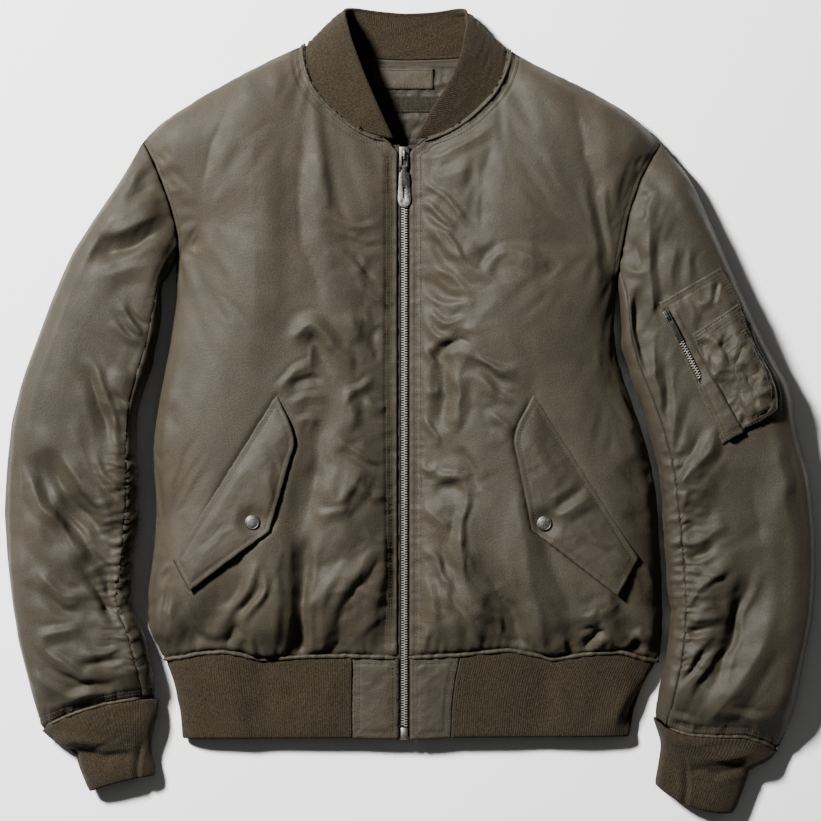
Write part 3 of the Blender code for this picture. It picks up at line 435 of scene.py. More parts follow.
def bent_grid(name, net, material, closed=False):
    """A grid bent on to a net (mm): the object, and its flat width, length and area in metres."""
    columns, rows = net.shape[0] - 1, net.shape[1] - 1
    width = np.linalg.norm(np.diff(net, axis=0), axis=-1).sum(axis=0).max() * MM
    length = np.linalg.norm(np.diff(net, axis=1), axis=-1).sum(axis=1).max() * MM
    bm = bmesh.new()
    cut = bm.loops.layers.uv.new("cut")
    bmesh.ops.create_grid(bm, x_segments=columns, y_segments=rows, size=0.5, calc_uvs=True)
    for face in bm.faces:
        for corner in face.loops:
            corner[cut].uv = (corner[cut].uv.x * width, corner[cut].uv.y * length)
    for vert in bm.verts:
        vert.co = net[round((vert.co.x + 0.5) * columns), round((vert.co.y + 0.5) * rows)] * MM
    if closed:
        edge = [vert for vert in bm.verts if vert.is_boundary]
        bmesh.ops.remove_doubles(bm, verts=edge, dist=0.02 * MM)
    area = sum(face.calc_area() for face in bm.faces)
    laid[name] = net
    return joined_object(name, bm, material), width, length, area


# %% From a bent grid to a piece of cloth
def cloth(name, net, wall, node, material, closed=False):
    """A piece of cloth whose outer face is a net (mm), and whose wall goes inwards."""
    net = net.copy()
    room = wall * np.clip(2 * outward(net)[..., 2] + 1.2, 0, 1.1)  # none where the net looks down
    net[..., 2] = np.maximum(net[..., 2], room)
    piece, width, length, area = bent_grid(name, net, material, closed)
    thicken = piece.modifiers.new("wall", "SOLIDIFY")
    thicken.thickness = wall * MM
    thicken.offset = -1
    belonging(piece, node)
    print(f"{name}: cut {width * 1000:.0f} x {length * 1000:.0f} mm, {area * 1e4:.0f} cm2, "
          f"{4 * (net.shape[0] - 1) * (net.shape[1] - 1)} triangles")
    return piece


# %% [markdown]
# ## Finishes
#
# The shell is nylon satin: a fine twill with a soft shine, and small differences in tone where the
# padding presses on it. The sleeves' satin is the body's, a little darker as painted shade. The
# collar, cuffs and hem are a wool-like rib knit, matt and a little browner, whose ribs are set by the
# cloth's own UV map, so that they follow the band, and whose hollows have painted shade. The main zip
# has rubbed nickel teeth, a gunmetal slider and a worn pewter pull with painted shade towards its
# upper end, and the sleeve's zip is dull bronze. Patterns are drawn by nodes, in real sizes, and
# every uniform value is set on the shader itself.

# %% A shader and its nodes
def shade(name, colour, roughness, metallic=0.0, specular=0.5, sheen=0.0):
    """A material, its node tree and its shader."""
    material = bpy.data.materials.new(name)
    material.use_nodes = True
    tree = material.node_tree
    shader = tree.nodes["Principled BSDF"]
    shader.inputs["Base Color"].default_value = (*colour, 1)
    shader.inputs["Roughness"].default_value = roughness
    shader.inputs["Metallic"].default_value = metallic
    shader.inputs["Specular IOR Level"].default_value = specular
    shader.inputs["Sheen Weight"].default_value = sheen
    shader.inputs["Sheen Roughness"].default_value = 0.5
    return material, tree, shader


def add(tree, kind, inputs=None, **settings):
    """A node, with its settings and its inputs, each a value or another node's output."""
    made = tree.nodes.new(kind)
    for key, value in settings.items():
        setattr(made, key, value)
    for key, value in (inputs or {}).items():
        if isinstance(value, bpy.types.NodeSocket):
            tree.links.new(value, made.inputs[key])
        else:
            made.inputs[key].default_value = value
    return made


# %% Patterns between 0 and 1, and what they drive
def grain(tree, place, millimetres, detail=2.0, roughness=0.5):
    """Noise of about this grain, between 0 and 1."""
    return add(tree, "ShaderNodeTexNoise", {"Vector": place, "Scale": 1 / (millimetres * MM),
                                            "Detail": detail, "Roughness": roughness}).outputs["Fac"]


def between(tree, share, low, high, start=0.3, end=0.7):
    """Reads a share into the range from low to high, which are numbers or colours."""
    if isinstance(low, tuple):
        ramp = add(tree, "ShaderNodeValToRGB", {"Fac": share})
        for element, at, colour in zip(ramp.color_ramp.elements, (start, end), (low, high)):
            element.position = at
            element.color = (*colour, 1)
        return ramp.outputs["Color"]
    return add(tree, "ShaderNodeMapRange", {"Value": share, "From Min": start, "From Max": end,
                                            "To Min": low, "To Max": high}).outputs["Result"]


def times(tree, first, second):
    """One colour multiplied by another."""
    return add(tree, "ShaderNodeMix", {0: 1.0, 6: first, 7: second}, data_type="RGBA",
               blend_type="MULTIPLY").outputs[2]


def tinted(colour, by):
    """A colour made this many times as bright."""
    return tuple(channel * by for channel in colour)


def roughen(tree, shader, *layers):
    """Bump from several heights, each with its depth in mm."""
    normal = None
    for height, depth in layers:
        inputs = {"Height": height, "Distance": depth * MM, "Strength": 1.0}
        if normal:
            inputs["Normal"] = normal
        normal = add(tree, "ShaderNodeBump", inputs).outputs["Normal"]
    tree.links.new(normal, shader.inputs["Normal"])


def weave(tree, place, pitch, turn=0.0):
    """Even ridges of a weave or a knit, between 0 and 1."""
    turned = add(tree, "ShaderNodeMapping", {"Vector": place, "Rotation": (0, 0, math.radians(turn))})
    return add(tree, "ShaderNodeTexWave", {"Vector": turned.outputs["Vector"],
                                           "Scale": 2 * math.pi / (20 * pitch * MM), "Distortion": 0.0},
               wave_type="BANDS", bands_direction="X", wave_profile="SIN").outputs["Fac"]


# %% Colours
NYLON = (0.0325, 0.0265, 0.0180)
KNIT = (0.0225, 0.0165, 0.0092)
THREAD = (0.042, 0.034, 0.024)
LINING = (0.024, 0.0195, 0.0135)
SILVER = (0.30, 0.28, 0.25)
GUNMETAL = (0.10, 0.092, 0.08)
FLOOR = (0.93, 0.93, 0.92)
print("colours:", "nylon", NYLON, "knit", KNIT)


# %% Nylon satin
def satin(name, colour, roughness=0.56):
    """Nylon satin with a UV map in metres: twill, soft changes of tone, and a little uneven shine."""
    material, tree, shader = shade(name, colour, roughness, specular=0.15)
    cut = add(tree, "ShaderNodeUVMap", uv_map="cut").outputs["UV"]
    body = add(tree, "ShaderNodeTexCoord").outputs["Object"]
    tone = between(tree, grain(tree, body, 34, 4, 0.6), tinted(colour, 0.86), tinted(colour, 1.12))
    fleck = grain(tree, cut, 1.5, 3, 0.8)
    fleck = between(tree, fleck, (0.60, 0.60, 0.59), (1.42, 1.42, 1.40), 0.34, 0.66)
    tree.links.new(times(tree, tone, fleck), shader.inputs["Base Color"])
    tree.links.new(between(tree, grain(tree, body, 18, 3), roughness - 0.06, roughness + 0.08),
                   shader.inputs["Roughness"])
    drawn = add(tree, "ShaderNodeMapping", {"Vector": cut, "Scale": (1.0, 0.45, 1.0)}).outputs["Vector"]
    ridge = grain(tree, drawn, 13, 2, 0.55)
    crinkle = add(tree, "ShaderNodeMath", {0: ridge, 1: 0.5}, operation="SUBTRACT").outputs[0]
    crinkle = add(tree, "ShaderNodeMath", {0: crinkle}, operation="ABSOLUTE").outputs[0]
    roughen(tree, shader, (crinkle, 0.32), (grain(tree, body, 1.8, 3, 0.75), 0.26),
            (weave(tree, cut, 0.42, 27), 0.02))
    return material


# %% Rib knit
def knit(name, colour, pitch=2.3):
    """Rib knit with a UV map in metres: upright ribs with painted shade in their hollows, small stitches, and
    a dusty, mottled surface.
    """
    material, tree, shader = shade(name, colour, 0.95, specular=0.10, sheen=0.04)
    cut = add(tree, "ShaderNodeUVMap", uv_map="cut").outputs["UV"]
    body = add(tree, "ShaderNodeTexCoord").outputs["Object"]
    ribs = weave(tree, cut, pitch)
    tone = grain(tree, body, 1.6, 3, 0.8)
    tone = between(tree, tone, tinted(colour, 0.35), tinted(colour, 1.65), 0.32, 0.68)
    # The colour is darker in the ribs' hollows and lighter on their crests: painted shade and light.
    lines = between(tree, ribs, (0.86, 0.86, 0.86), (1.05, 1.05, 1.05), 0.1, 0.7)
    tree.links.new(times(tree, tone, lines), shader.inputs["Base Color"])
    roughen(tree, shader, (ribs, 0.25), (grain(tree, body, 1.3, 3, 0.75), 0.8))
    return material


# %% Plated metal
def metal(name, colour, roughness=0.34, worn=1.5):
    """Plated metal, darker in its hollows, a little brighter where it is rubbed, and unevenly rough."""
    material, tree, shader = shade(name, colour, roughness, metallic=1.0)
    body = add(tree, "ShaderNodeTexCoord").outputs["Object"]
    edge = add(tree, "ShaderNodeNewGeometry").outputs["Pointiness"]
    rubbed = between(tree, edge, tinted(colour, 0.55), tinted(colour, worn), 0.44, 0.58)
    spots = between(tree, grain(tree, body, 1.6, 4, 0.7), (0.78, 0.78, 0.78), (1.08, 1.08, 1.08))
    tree.links.new(times(tree, rubbed, spots), shader.inputs["Base Color"])
    tree.links.new(between(tree, grain(tree, body, 2.5, 3), roughness - 0.08, roughness + 0.14),
                   shader.inputs["Roughness"])
    roughen(tree, shader, (grain(tree, body, 0.7, 3), 0.03))
    return material


def shaded_upper_end(material, node, start, end, dark):
    """The metal darkened away from its part's low end, from start to end (mm): painted shade on its upper
    end.
    """
    tree = material.node_tree
    shader = tree.nodes["Principled BSDF"]
    body = add(tree, "ShaderNodeTexCoord").outputs["Object"]
    height = add(tree, "ShaderNodeSeparateXYZ", {0: body}).outputs["Y"]
    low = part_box(node)[0].y
    share = between(tree, height, 1.0, dark, low + start * MM, low + end * MM)
    plain = shader.inputs["Base Color"].links[0].from_socket
    tree.links.new(times(tree, plain, share), shader.inputs["Base Color"])
    return material


# %% Woven tape and the floor's paint
def ribbon(name, colour, roughness=0.8):
    """Woven tape: crosswise cords and a fine twill."""
    material, tree, shader = shade(name, colour, roughness, specular=0.2)
    body = add(tree, "ShaderNodeTexCoord").outputs["Object"]
    tone = between(tree, grain(tree, body, 3.0, 3), tinted(colour, 0.8), tinted(colour, 1.15))
    tree.links.new(tone, shader.inputs["Base Color"])
    roughen(tree, shader, (weave(tree, body, 0.9, 90), 0.12), (weave(tree, body, 0.6, 40), 0.05))
    return material


def paint(name, colour):
    """The studio floor: pale, matt and very slightly uneven."""
    material, tree, shader = shade(name, colour, 0.9, specular=0.2)
    place = add(tree, "ShaderNodeTexCoord").outputs["Object"]
    tone = between(tree, grain(tree, place, 120, 3), tinted(colour, 0.985), tinted(colour, 1.0))
    tree.links.new(tone, shader.inputs["Base Color"])
    return material


# %% The finishes of all parts
nylon = satin("nylon satin", NYLON)
# The sleeves' satin is the body's, a little darker: painted shade on the sleeves.
shaded_sleeve_nylon = satin("nylon satin of the sleeves", tinted(NYLON, 0.87))
rib = knit("rib knit", KNIT)
thread = ribbon("sewing thread", THREAD, 0.6)
tape = ribbon("zip tape", tinted(THREAD, 0.55))
core = ribbon("tape edge", tinted(THREAD, 0.2))
lining = satin("lining satin", LINING, 0.5)
label = satin("label satin", tinted(LINING, 1.5), 0.6)
marked = knit("label weave", tinted(LINING, 0.8), 1.2)
silver = metal("antique silver", SILVER)
gunmetal = metal("gunmetal", GUNMETAL, 0.4)
nickel = metal("rubbed nickel", tinted(SILVER, 1.6), 0.50, 1.3)
# The pull is painted darker towards its upper end, next to the slider: painted shade.
pewter = shaded_upper_end(metal("worn pewter", tinted(SILVER, 1.2), 0.42, 1.3), "zip_pull", 7, 21, 0.22)
stud = metal("press stud", tinted(SILVER, 0.38), 0.45, 1.5)
bronze = metal("dull bronze", tinted(GUNMETAL, 0.55), 0.55)
floor.data.materials.append(paint("studio floor", FLOOR))
print("materials:", len(bpy.data.materials))

# %% [markdown]
# ## Folds and puckers
#
# Padded nylon creases in two ways. Its large folds have round, soft crests and narrow valleys,
# because the padding pushes out and only the crease holds it in. Over them the thin cloth is
# crumpled finely, and beside every seam it puckers, because the seam draws it together. Each of
# these is a helper that gives a height (mm) over the smooth cloth at every point, so they add up.

# %% Even steps and smooth noise
def fade(x):
    """From 0 to 1 and level at both ends."""
    x = np.clip(x, 0, 1)
    return x * x * (3 - 2 * x)


HUMPS = 61  # after so many humps the noise repeats, and the patches after so many patches
PATCHES = 97


def noise(x, y, size, seed):
    """Smooth uneven heights, about -1 to 1, whose humps are this wide."""
    table = np.random.default_rng(seed).uniform(-1, 1, (HUMPS, HUMPS))
    u, v = np.asarray(x) / size + 301.7, np.asarray(y) / size + 277.3
    i, j = np.floor(u).astype(int), np.floor(v).astype(int)
    s, t = fade(u - i), fade(v - j)
    low, high = (table[i % HUMPS, row % HUMPS] * (1 - s) + table[(i + 1) % HUMPS, row % HUMPS] * s
                 for row in (j, j + 1))
    return low * (1 - t) + high * t


# %% One fold
def crease(x, y, path, width, height):
    """One fold along a path: a crest above 0, a valley below 0, both tapering to their ends."""
    line = curve(np.array(path, float), 6)
    near = ((x > line[:, 0].min() - 4 * width) & (x < line[:, 0].max() + 4 * width)
            & (y > line[:, 1].min() - 4 * width) & (y < line[:, 1].max() + 4 * width))
    px, py = x[near], y[near]
    off, side, share = np.full(px.shape, np.inf), np.zeros(px.shape), np.zeros(px.shape)
    for k, (start, end) in enumerate(zip(line, line[1:])):
        run = end - start
        t = np.clip(((px - start[0]) * run[0] + (py - start[1]) * run[1]) / (run @ run), 0, 1)
        dx, dy = px - start[0] - t * run[0], py - start[1] - t * run[1]
        away = np.hypot(dx, dy)
        closer = away < off
        off[closer] = away[closer]
        side[closer] = np.sign(run[0] * dy - run[1] * dx)[closer]
        share[closer] = ((k + t) / (len(line) - 1))[closer]
    taper = (fade(share / 0.35) * fade((1 - share) / 0.35)) ** 0.75
    s = off / (width * (1.5 - 0.6 * taper) * np.where(side > 0, 0.8, 1.35))  # one side is steeper
    dip, at, spread = (0.25, 1.9, 0.7) if height > 0 else (0.3, 1.8, 0.8)  # of the cloth beside it
    made = np.zeros(np.shape(x))
    made[near] = height * (np.exp(-s ** 1.2) - dip * np.exp(-((s - at) / spread) ** 2)) * taper
    return made


# %% Crumpled cloth
def turned(x, y, turn, stretch):
    """Coordinates along a direction (degrees), where a pattern is stretched, and across it."""
    c, s = math.cos(math.radians(turn)), math.sin(math.radians(turn))
    return (x * c + y * s) / stretch, y * c - x * s


def crumple(x, y, size, seed, turn=0.0, stretch=1.0):
    """Sharp uneven creases between soft humps, drawn out along a direction (degrees)."""
    u, v = turned(x, y, turn, stretch)
    shift_u, shift_v = (0.4 * size * noise(u, v, size * 1.7, seed + k) for k in (1, 2))
    u, v = u + shift_u, v + shift_v
    made = 0
    for k in range(3):
        made = made + 0.55 ** k * (1 - 2.2 * np.abs(noise(u, v, size / 1.9 ** k, seed + 10 * k)))
    return made / 1.85


def facets(x, y, size, seed, turn=0.0, stretch=1.0):
    """Flat patches between crisp creases, drawn out along a direction (degrees)."""
    u, v = (way / size + 40 for way in turned(x, y, turn, stretch))
    shift_u, shift_v = (0.42 * noise(u, v, 0.8, seed + k) for k in (1, 2))
    u, v = u + shift_u, v + shift_v
    table = np.random.default_rng(seed).uniform(-1, 1, (PATCHES, PATCHES))
    i, j = np.floor(u).astype(int), np.floor(v).astype(int)
    p, q = u - i, v - j
    crossed = table[(i + 48) % PATCHES, (j + 31) % PATCHES] > 0  # creased the other way
    p = np.where(crossed, 1 - p, p)
    near, far = np.where(crossed, i + 1, i) % PATCHES, np.where(crossed, i, i + 1) % PATCHES
    a, b, c, d = (table[column, row % PATCHES] for row in (j, j + 1) for column in (near, far))
    return np.where(p + q < 1, a + p * (b - a) + q * (c - a), d + (1 - p) * (c - d) + (1 - q) * (b - d))


# %% Cloth beside a seam
def puckers(distance, run, spacing, depth, reach, seed):
    """Little gathers that stand across a seam and die out this far (mm) from it."""
    wobble = run + 0.5 * spacing * noise(run, distance, spacing * 3, seed)
    wave = noise(wobble, distance * 0.25, spacing * 0.5, seed + 1)
    far = reach * (1 + 0.5 * noise(run, 0 * run, spacing * 4, seed + 2))
    return depth * wave * np.exp(-(distance / far) ** 1.3)


def groove(distance, depth=1.8, width=2.2):
    """The cloth turns down into a seam."""
    return -depth * np.exp(-(distance / width) ** 2)


def sewn(distance, at, run, seed, depth=0.7):
    """A row of stitches pulls the cloth into a furrow, with fine gathers on both sides."""
    away = np.abs(distance - at)
    gathers = 0.5 * depth * noise(run, 0 * run, 3.4, seed) * np.exp(-away / 4)
    return gathers - depth * np.exp(-(away / 1.5) ** 2)


def rounded(distance, radius):
    """An edge that is turned over a radius."""
    t = np.clip(distance / radius, 0, 1)
    return -radius * (1 - np.sqrt(1 - (1 - t) ** 2)) * 0.9


# %% [markdown]
# ## Stitches and piping
#
# A machine stitch is a short, plump bit of thread, about 3 mm from hole to hole, that lies in a
# furrow of the cloth. All rows of one thread are one mesh: a single small capsule, set down again
# and again by arrays, along lines that are read off the finished cloth. Piping is a thin roll of the
# same nylon, caught in a seam, and it isn't quite even, because the seam gathers it.

# %% Lines on the finished cloth
def line_on(name, edge, distance):
    """A line on a laid piece, this far (mm) from one of its edges, and its directions outwards."""
    net = laid[name]
    normal = outward(net)
    if edge in ("left", "right"):
        net, normal = net.swapaxes(0, 1), normal.swapaxes(0, 1)
    if edge in ("right", "high"):
        net, normal = net[:, ::-1], normal[:, ::-1]
    points, normals = [], []
    for places, ways in zip(net, normal):
        far = lengths_along(places)
        points.append(read_at([distance], far, places)[0])
        normals.append(read_at([distance], far, ways)[0])
    return np.array(points), np.array(normals)


def tree_of(net):
    """A net as a search tree, in mm."""
    rows = net.shape[1]
    quads = [(a, a + rows, a + rows + 1, a + 1) for a in range(net[..., 0].size - rows) if (a + 1) % rows]
    return BVHTree.FromPolygons([tuple(point) for point in net.reshape(-1, 3)], quads)


def dropped(name, spots):
    """Spots (x, y) dropped from above on to a laid piece: points and directions outwards."""
    tree = tree_of(laid[name])
    hits = [tree.ray_cast(Vector((x, y, 200)), DOWN)[:2] for x, y in spots]
    hits = [(point, normal if normal.z > 0 else -normal) for point, normal in hits if point]
    return np.array([point for point, _ in hits]), np.array([normal for _, normal in hits])


# %% Lines inside an outline
def outline_of(net):
    """The outline of a net, seen from above, in even steps of 1 mm and counter-clockwise."""
    ring = np.concatenate([net[:-1, 0], net[-1, :-1], net[:0:-1, -1], net[0, :0:-1], net[:1, 0]])[:, :2]
    far = lengths_along(ring)
    at = np.linspace(0, far[-1], max(8, round(far[-1])), endpoint=False)
    ring = read_at(at, far, ring)
    area = (ring[:, 0] * np.roll(ring[:, 1], -1) - ring[:, 1] * np.roll(ring[:, 0], -1)).sum()
    return ring if area > 0 else ring[::-1]


def from_outline(net):
    """How far (mm) each point of a net is from its outline, seen from above, and where along it."""
    ring = outline_of(net)
    away = np.hypot(net[..., None, 0] - ring[:, 0], net[..., None, 1] - ring[:, 1])
    return away.min(axis=-1), away.argmin(axis=-1).astype(float)


def inset(name, distance):
    """A line round a laid piece, this far inside its outline."""
    ring = outline_of(laid[name])
    run = np.roll(ring, -2, axis=0) - np.roll(ring, 2, axis=0)
    inwards = np.stack([-run[:, 1], run[:, 0]], axis=1) / np.linalg.norm(run, axis=1, keepdims=True)
    moved = ring + distance * inwards
    away = np.hypot(moved[:, None, 0] - ring[:, 0], moved[:, None, 1] - ring[:, 1]).min(axis=1)
    moved = moved[away > distance - 0.25]
    return dropped(name, np.concatenate([moved, moved[:1]]))


# %% Small shapes repeated along a line
def unit(ways):
    """The same directions, each with length 1."""
    return ways / np.maximum(np.linalg.norm(ways, axis=-1, keepdims=True), 1e-6)


def along_line(points, normals, pitch):
    """Frames every so many mm along a line: places, and turns whose columns run along, across and up."""
    far = lengths_along(points)
    at = (np.arange(int(far[-1] / pitch)) + 0.5) * pitch
    run = unit(read_at(at + 0.6, far, points) - read_at(at - 0.6, far, points))
    across = unit(np.cross(read_at(at, far, normals), run))
    return read_at(at, far, points), np.stack([run, across, np.cross(run, across)], axis=2)


def repeated(name, shape, places, turns, material, smooth=True):
    """One mesh of the same shape at many places (mm)."""
    verts, faces = shape
    spots = np.einsum("nij,vj->nvi", turns, verts) + places[:, None]
    mesh = bpy.data.meshes.new(name)
    starts = range(0, len(places) * len(verts), len(verts))
    all_faces = [[corner + start for corner in face] for start in starts for face in faces]
    mesh.from_pydata((spots.reshape(-1, 3) * MM).tolist(), [], all_faces)
    print(f"{name}: {len(places)} of {len(faces)} faces")
    return finished(name, mesh, material, smooth)


def arrays_of(bm):
    """A small bmesh (mm) as its vertices and its faces, to be set down many times."""
    bmesh.ops.recalc_face_normals(bm, faces=bm.faces)
    bm.verts.index_update()
    verts = np.array([vert.co for vert in bm.verts])
    faces = [[vert.index for vert in face.verts] for face in bm.faces]
    bm.free()
    return verts, faces


# %% Stitches
def capsule(length, radius, sides=4):
    """A plump bit of thread along x: two cones that meet at their wide ends."""
    bm = bmesh.new()
    for end, start, stop in ((-1, 0.3, 1.15), (1, 1.15, 0.3)):
        half = Matrix.Rotation(math.pi / 2, 4, "Y") @ Matrix.Translation((0, 0, end * length / 4))
        bmesh.ops.create_cone(bm, segments=sides, radius1=start * radius, radius2=stop * radius,
                              depth=length / 2, matrix=half)
    bmesh.ops.remove_doubles(bm, verts=bm.verts, dist=0.001)
    bmesh.ops.holes_fill(bm, edges=bm.edges, sides=sides)
    return arrays_of(bm)


STITCH = 3.1  # mm from hole to hole
STITCH_LIFT = 0.15  # mm above the cloth
rows_sewn = []  # places and turns, made into one mesh at the end


def sew(points, normals):
    """Adds a row of stitches to be made at the end."""
    seen = (normals[:, 2] > -0.1) if len(points) else []
    if sum(seen) > 2:
        place, turn = along_line(points[seen], normals[seen], STITCH)
        rows_sewn.append((place + turn[:, :, 2] * STITCH_LIFT, turn))


# %% Piping
def roll(name, points, normals, radius, seed, lift, sides=8):
    """Piping: a roll of nylon along a line, uneven where the seam gathers it."""
    for _ in range(3):
        points[1:-1] = (points[:-2] + 2 * points[1:-1] + points[2:]) / 4
    far = lengths_along(points)
    at = np.linspace(0, far[-1], max(2, round(far[-1] / 1.15)))
    place, up = read_at(at, far, points), unit(read_at(at, far, normals))
    across = unit(np.cross(np.gradient(place, axis=0), up))
    size = radius * (1 + 0.2 * noise(at, 0 * at, 2.6, seed) + 0.12 * noise(at, 0 * at, 13, seed + 1))
    size *= 0.3 + 0.7 * fade(at / 5) * fade((far[-1] - at) / 5)
    place = place + (lift * radius + 0.3 * noise(at, 0 * at, 9, seed + 2))[:, None] * up
    turn = np.linspace(0, math.tau, sides + 1)
    net = (place[:, None] + (size[:, None] * np.sin(turn))[..., None] * across[:, None]
           + (size[:, None] * np.cos(turn))[..., None] * up[:, None])
    return belonging(bent_grid(name, net, nylon, closed=True)[0])


# %% [markdown]
# ## Where the folds lie
#
# A row is one fold: its half width and its height in mm, and then the points (x, y) of its path. A
# valley's height is below 0. The broad ones come from the way the jacket is filled and laid out, the
# short ones start at seams, at the corners of the pocket flaps and at the zip, where the cloth is
# held. No two are alike, and they're placed one by one, on the hidden back as well. `CREASED` says
# where the cloth is finely crumpled besides: a few places (x, y) and how far each reaches.

# %% Folds of the right front
FOLDS = {}
CREASED = {}
FOLDS["front_right"] = [
    (13, -2.6, (-158, 322), (-186, 270), (-198, 215), (-212, 140), (-218, 90)),
    (22, 3.0, (-146, 310), (-152, 230), (-150, 120), (-158, 40)),
    (14, -3.2, (-102, 300), (-106, 230), (-103, 170), (-90, 120), (-86, 80)),
    (7, 1.6, (-96, 308), (-86, 235), (-77, 165)),
    (8, -1.6, (-210, 70), (-217, -20), (-222, -90), (-229, -130)),
    (7, 1.6, (-232, 60), (-238, -30), (-243, -110)),
    (4, 1.8, (-80, 192), (-55, 178), (-26, 180)),
    (4, -1.8, (-78, 168), (-50, 158), (-24, 160)),
    (4, 2.2, (-78, 156), (-48, 132), (-24, 116)),
    (4, -2.0, (-62, 150), (-40, 128), (-22, 110)),
    (3.5, 1.6, (-55, 124), (-36, 108), (-20, 98)),
    (8, 3.4, (-118, 50), (-108, 74), (-94, 83), (-80, 72), (-68, 55), (-48, 50), (-32, 64)),
    (10, -4.0, (-106, 52), (-94, 66), (-84, 56), (-76, 36)),
    (9, 2.0, (-66, 96), (-55, 78), (-46, 66)),
    (10, -3.2, (-24, 92), (-36, 66), (-30, 40)),
    (4, 2.4, (-126, 16), (-112, 38), (-94, 43)),
    (4, -2.2, (-116, 22), (-98, 32), (-82, 30)),
    (4, 1.8, (-116, 2), (-100, 14), (-80, 12)),
    (4, 1.6, (-112, -12), (-98, -6), (-88, -14)),
    (12, -4.0, (-84, 10), (-88, -40), (-96, -90), (-106, -125)),
    (8, 3.0, (-66, 24), (-58, 4), (-54, -24)),
    (4, 2.4, (-66, 18), (-50, 22), (-34, 30)),
    (3.5, 2.0, (-70, -30), (-50, -42), (-26, -53)),
    (3.5, -2.0, (-66, -36), (-48, -48), (-24, -58)),
    (13, 3.6, (-44, -52), (-58, -78), (-80, -98)),
    (4, 1.8, (-92, -103), (-72, -98), (-54, -96)),
    (3.5, 2.4, (-46, 10), (-34, 4), (-22, 2)),
    (3.5, 2.4, (-50, 96), (-38, 84), (-24, 82)),
    (3.5, 2.6, (-54, -70), (-40, -80), (-24, -82)),
    (3.5, 1.5, (-52, -164), (-38, -176), (-24, -178)),
    (3.5, 1.6, (-44, -114), (-32, -124), (-22, -126)),
    (8, 2.8, (-34, -126), (-50, -150), (-66, -176), (-76, -196)),
    (10, -1.4, (-30, -140), (-44, -168), (-50, -206)),
    (13, 4.2, (-80, -150), (-85, -200), (-84, -300)),
    (6, 1.0, (-24, -150), (-34, -176), (-36, -200)),
    (4, 1.0, (-6, -190), (-38, -204), (-50, -218)),
    (6, -7.5, (-96, -106), (-101, -150), (-103, -196), (-107, -240), (-116, -310)),
    (17, 5.5, (-122, -90), (-127, -150), (-130, -210), (-138, -330)),
    (4, 2.8, (-143, -142), (-154, -172), (-182, -208)),
    (4, 2.4, (-136, -150), (-146, -182), (-166, -210)),
    (4, -2.4, (-140, -150), (-152, -180), (-174, -206)),
    (6, -5, (-160, -206), (-170, -214), (-182, -230)),
    (5, -3.4, (-226, -170), (-218, -196), (-204, -214), (-182, -226)),
    (3.5, 2.6, (-230, -146), (-240, -162), (-250, -178)),
    (4, -2.0, (-227, -150), (-234, -186), (-238, -224)),
    (4, 1.8, (-242, -184), (-238, -206), (-228, -228)),
    (4, 1.8, (-206, -208), (-196, -222), (-190, -238)),
    (3.5, 2.0, (-152, -214), (-150, -226), (-152, -240)),
]
CREASED["front_right"] = ((-75, -205, 40), (-36, 110, 30), (-50, -20, 30), (-50, -150, 50),
                          (-190, -215, 35), (-40, 160, 30))

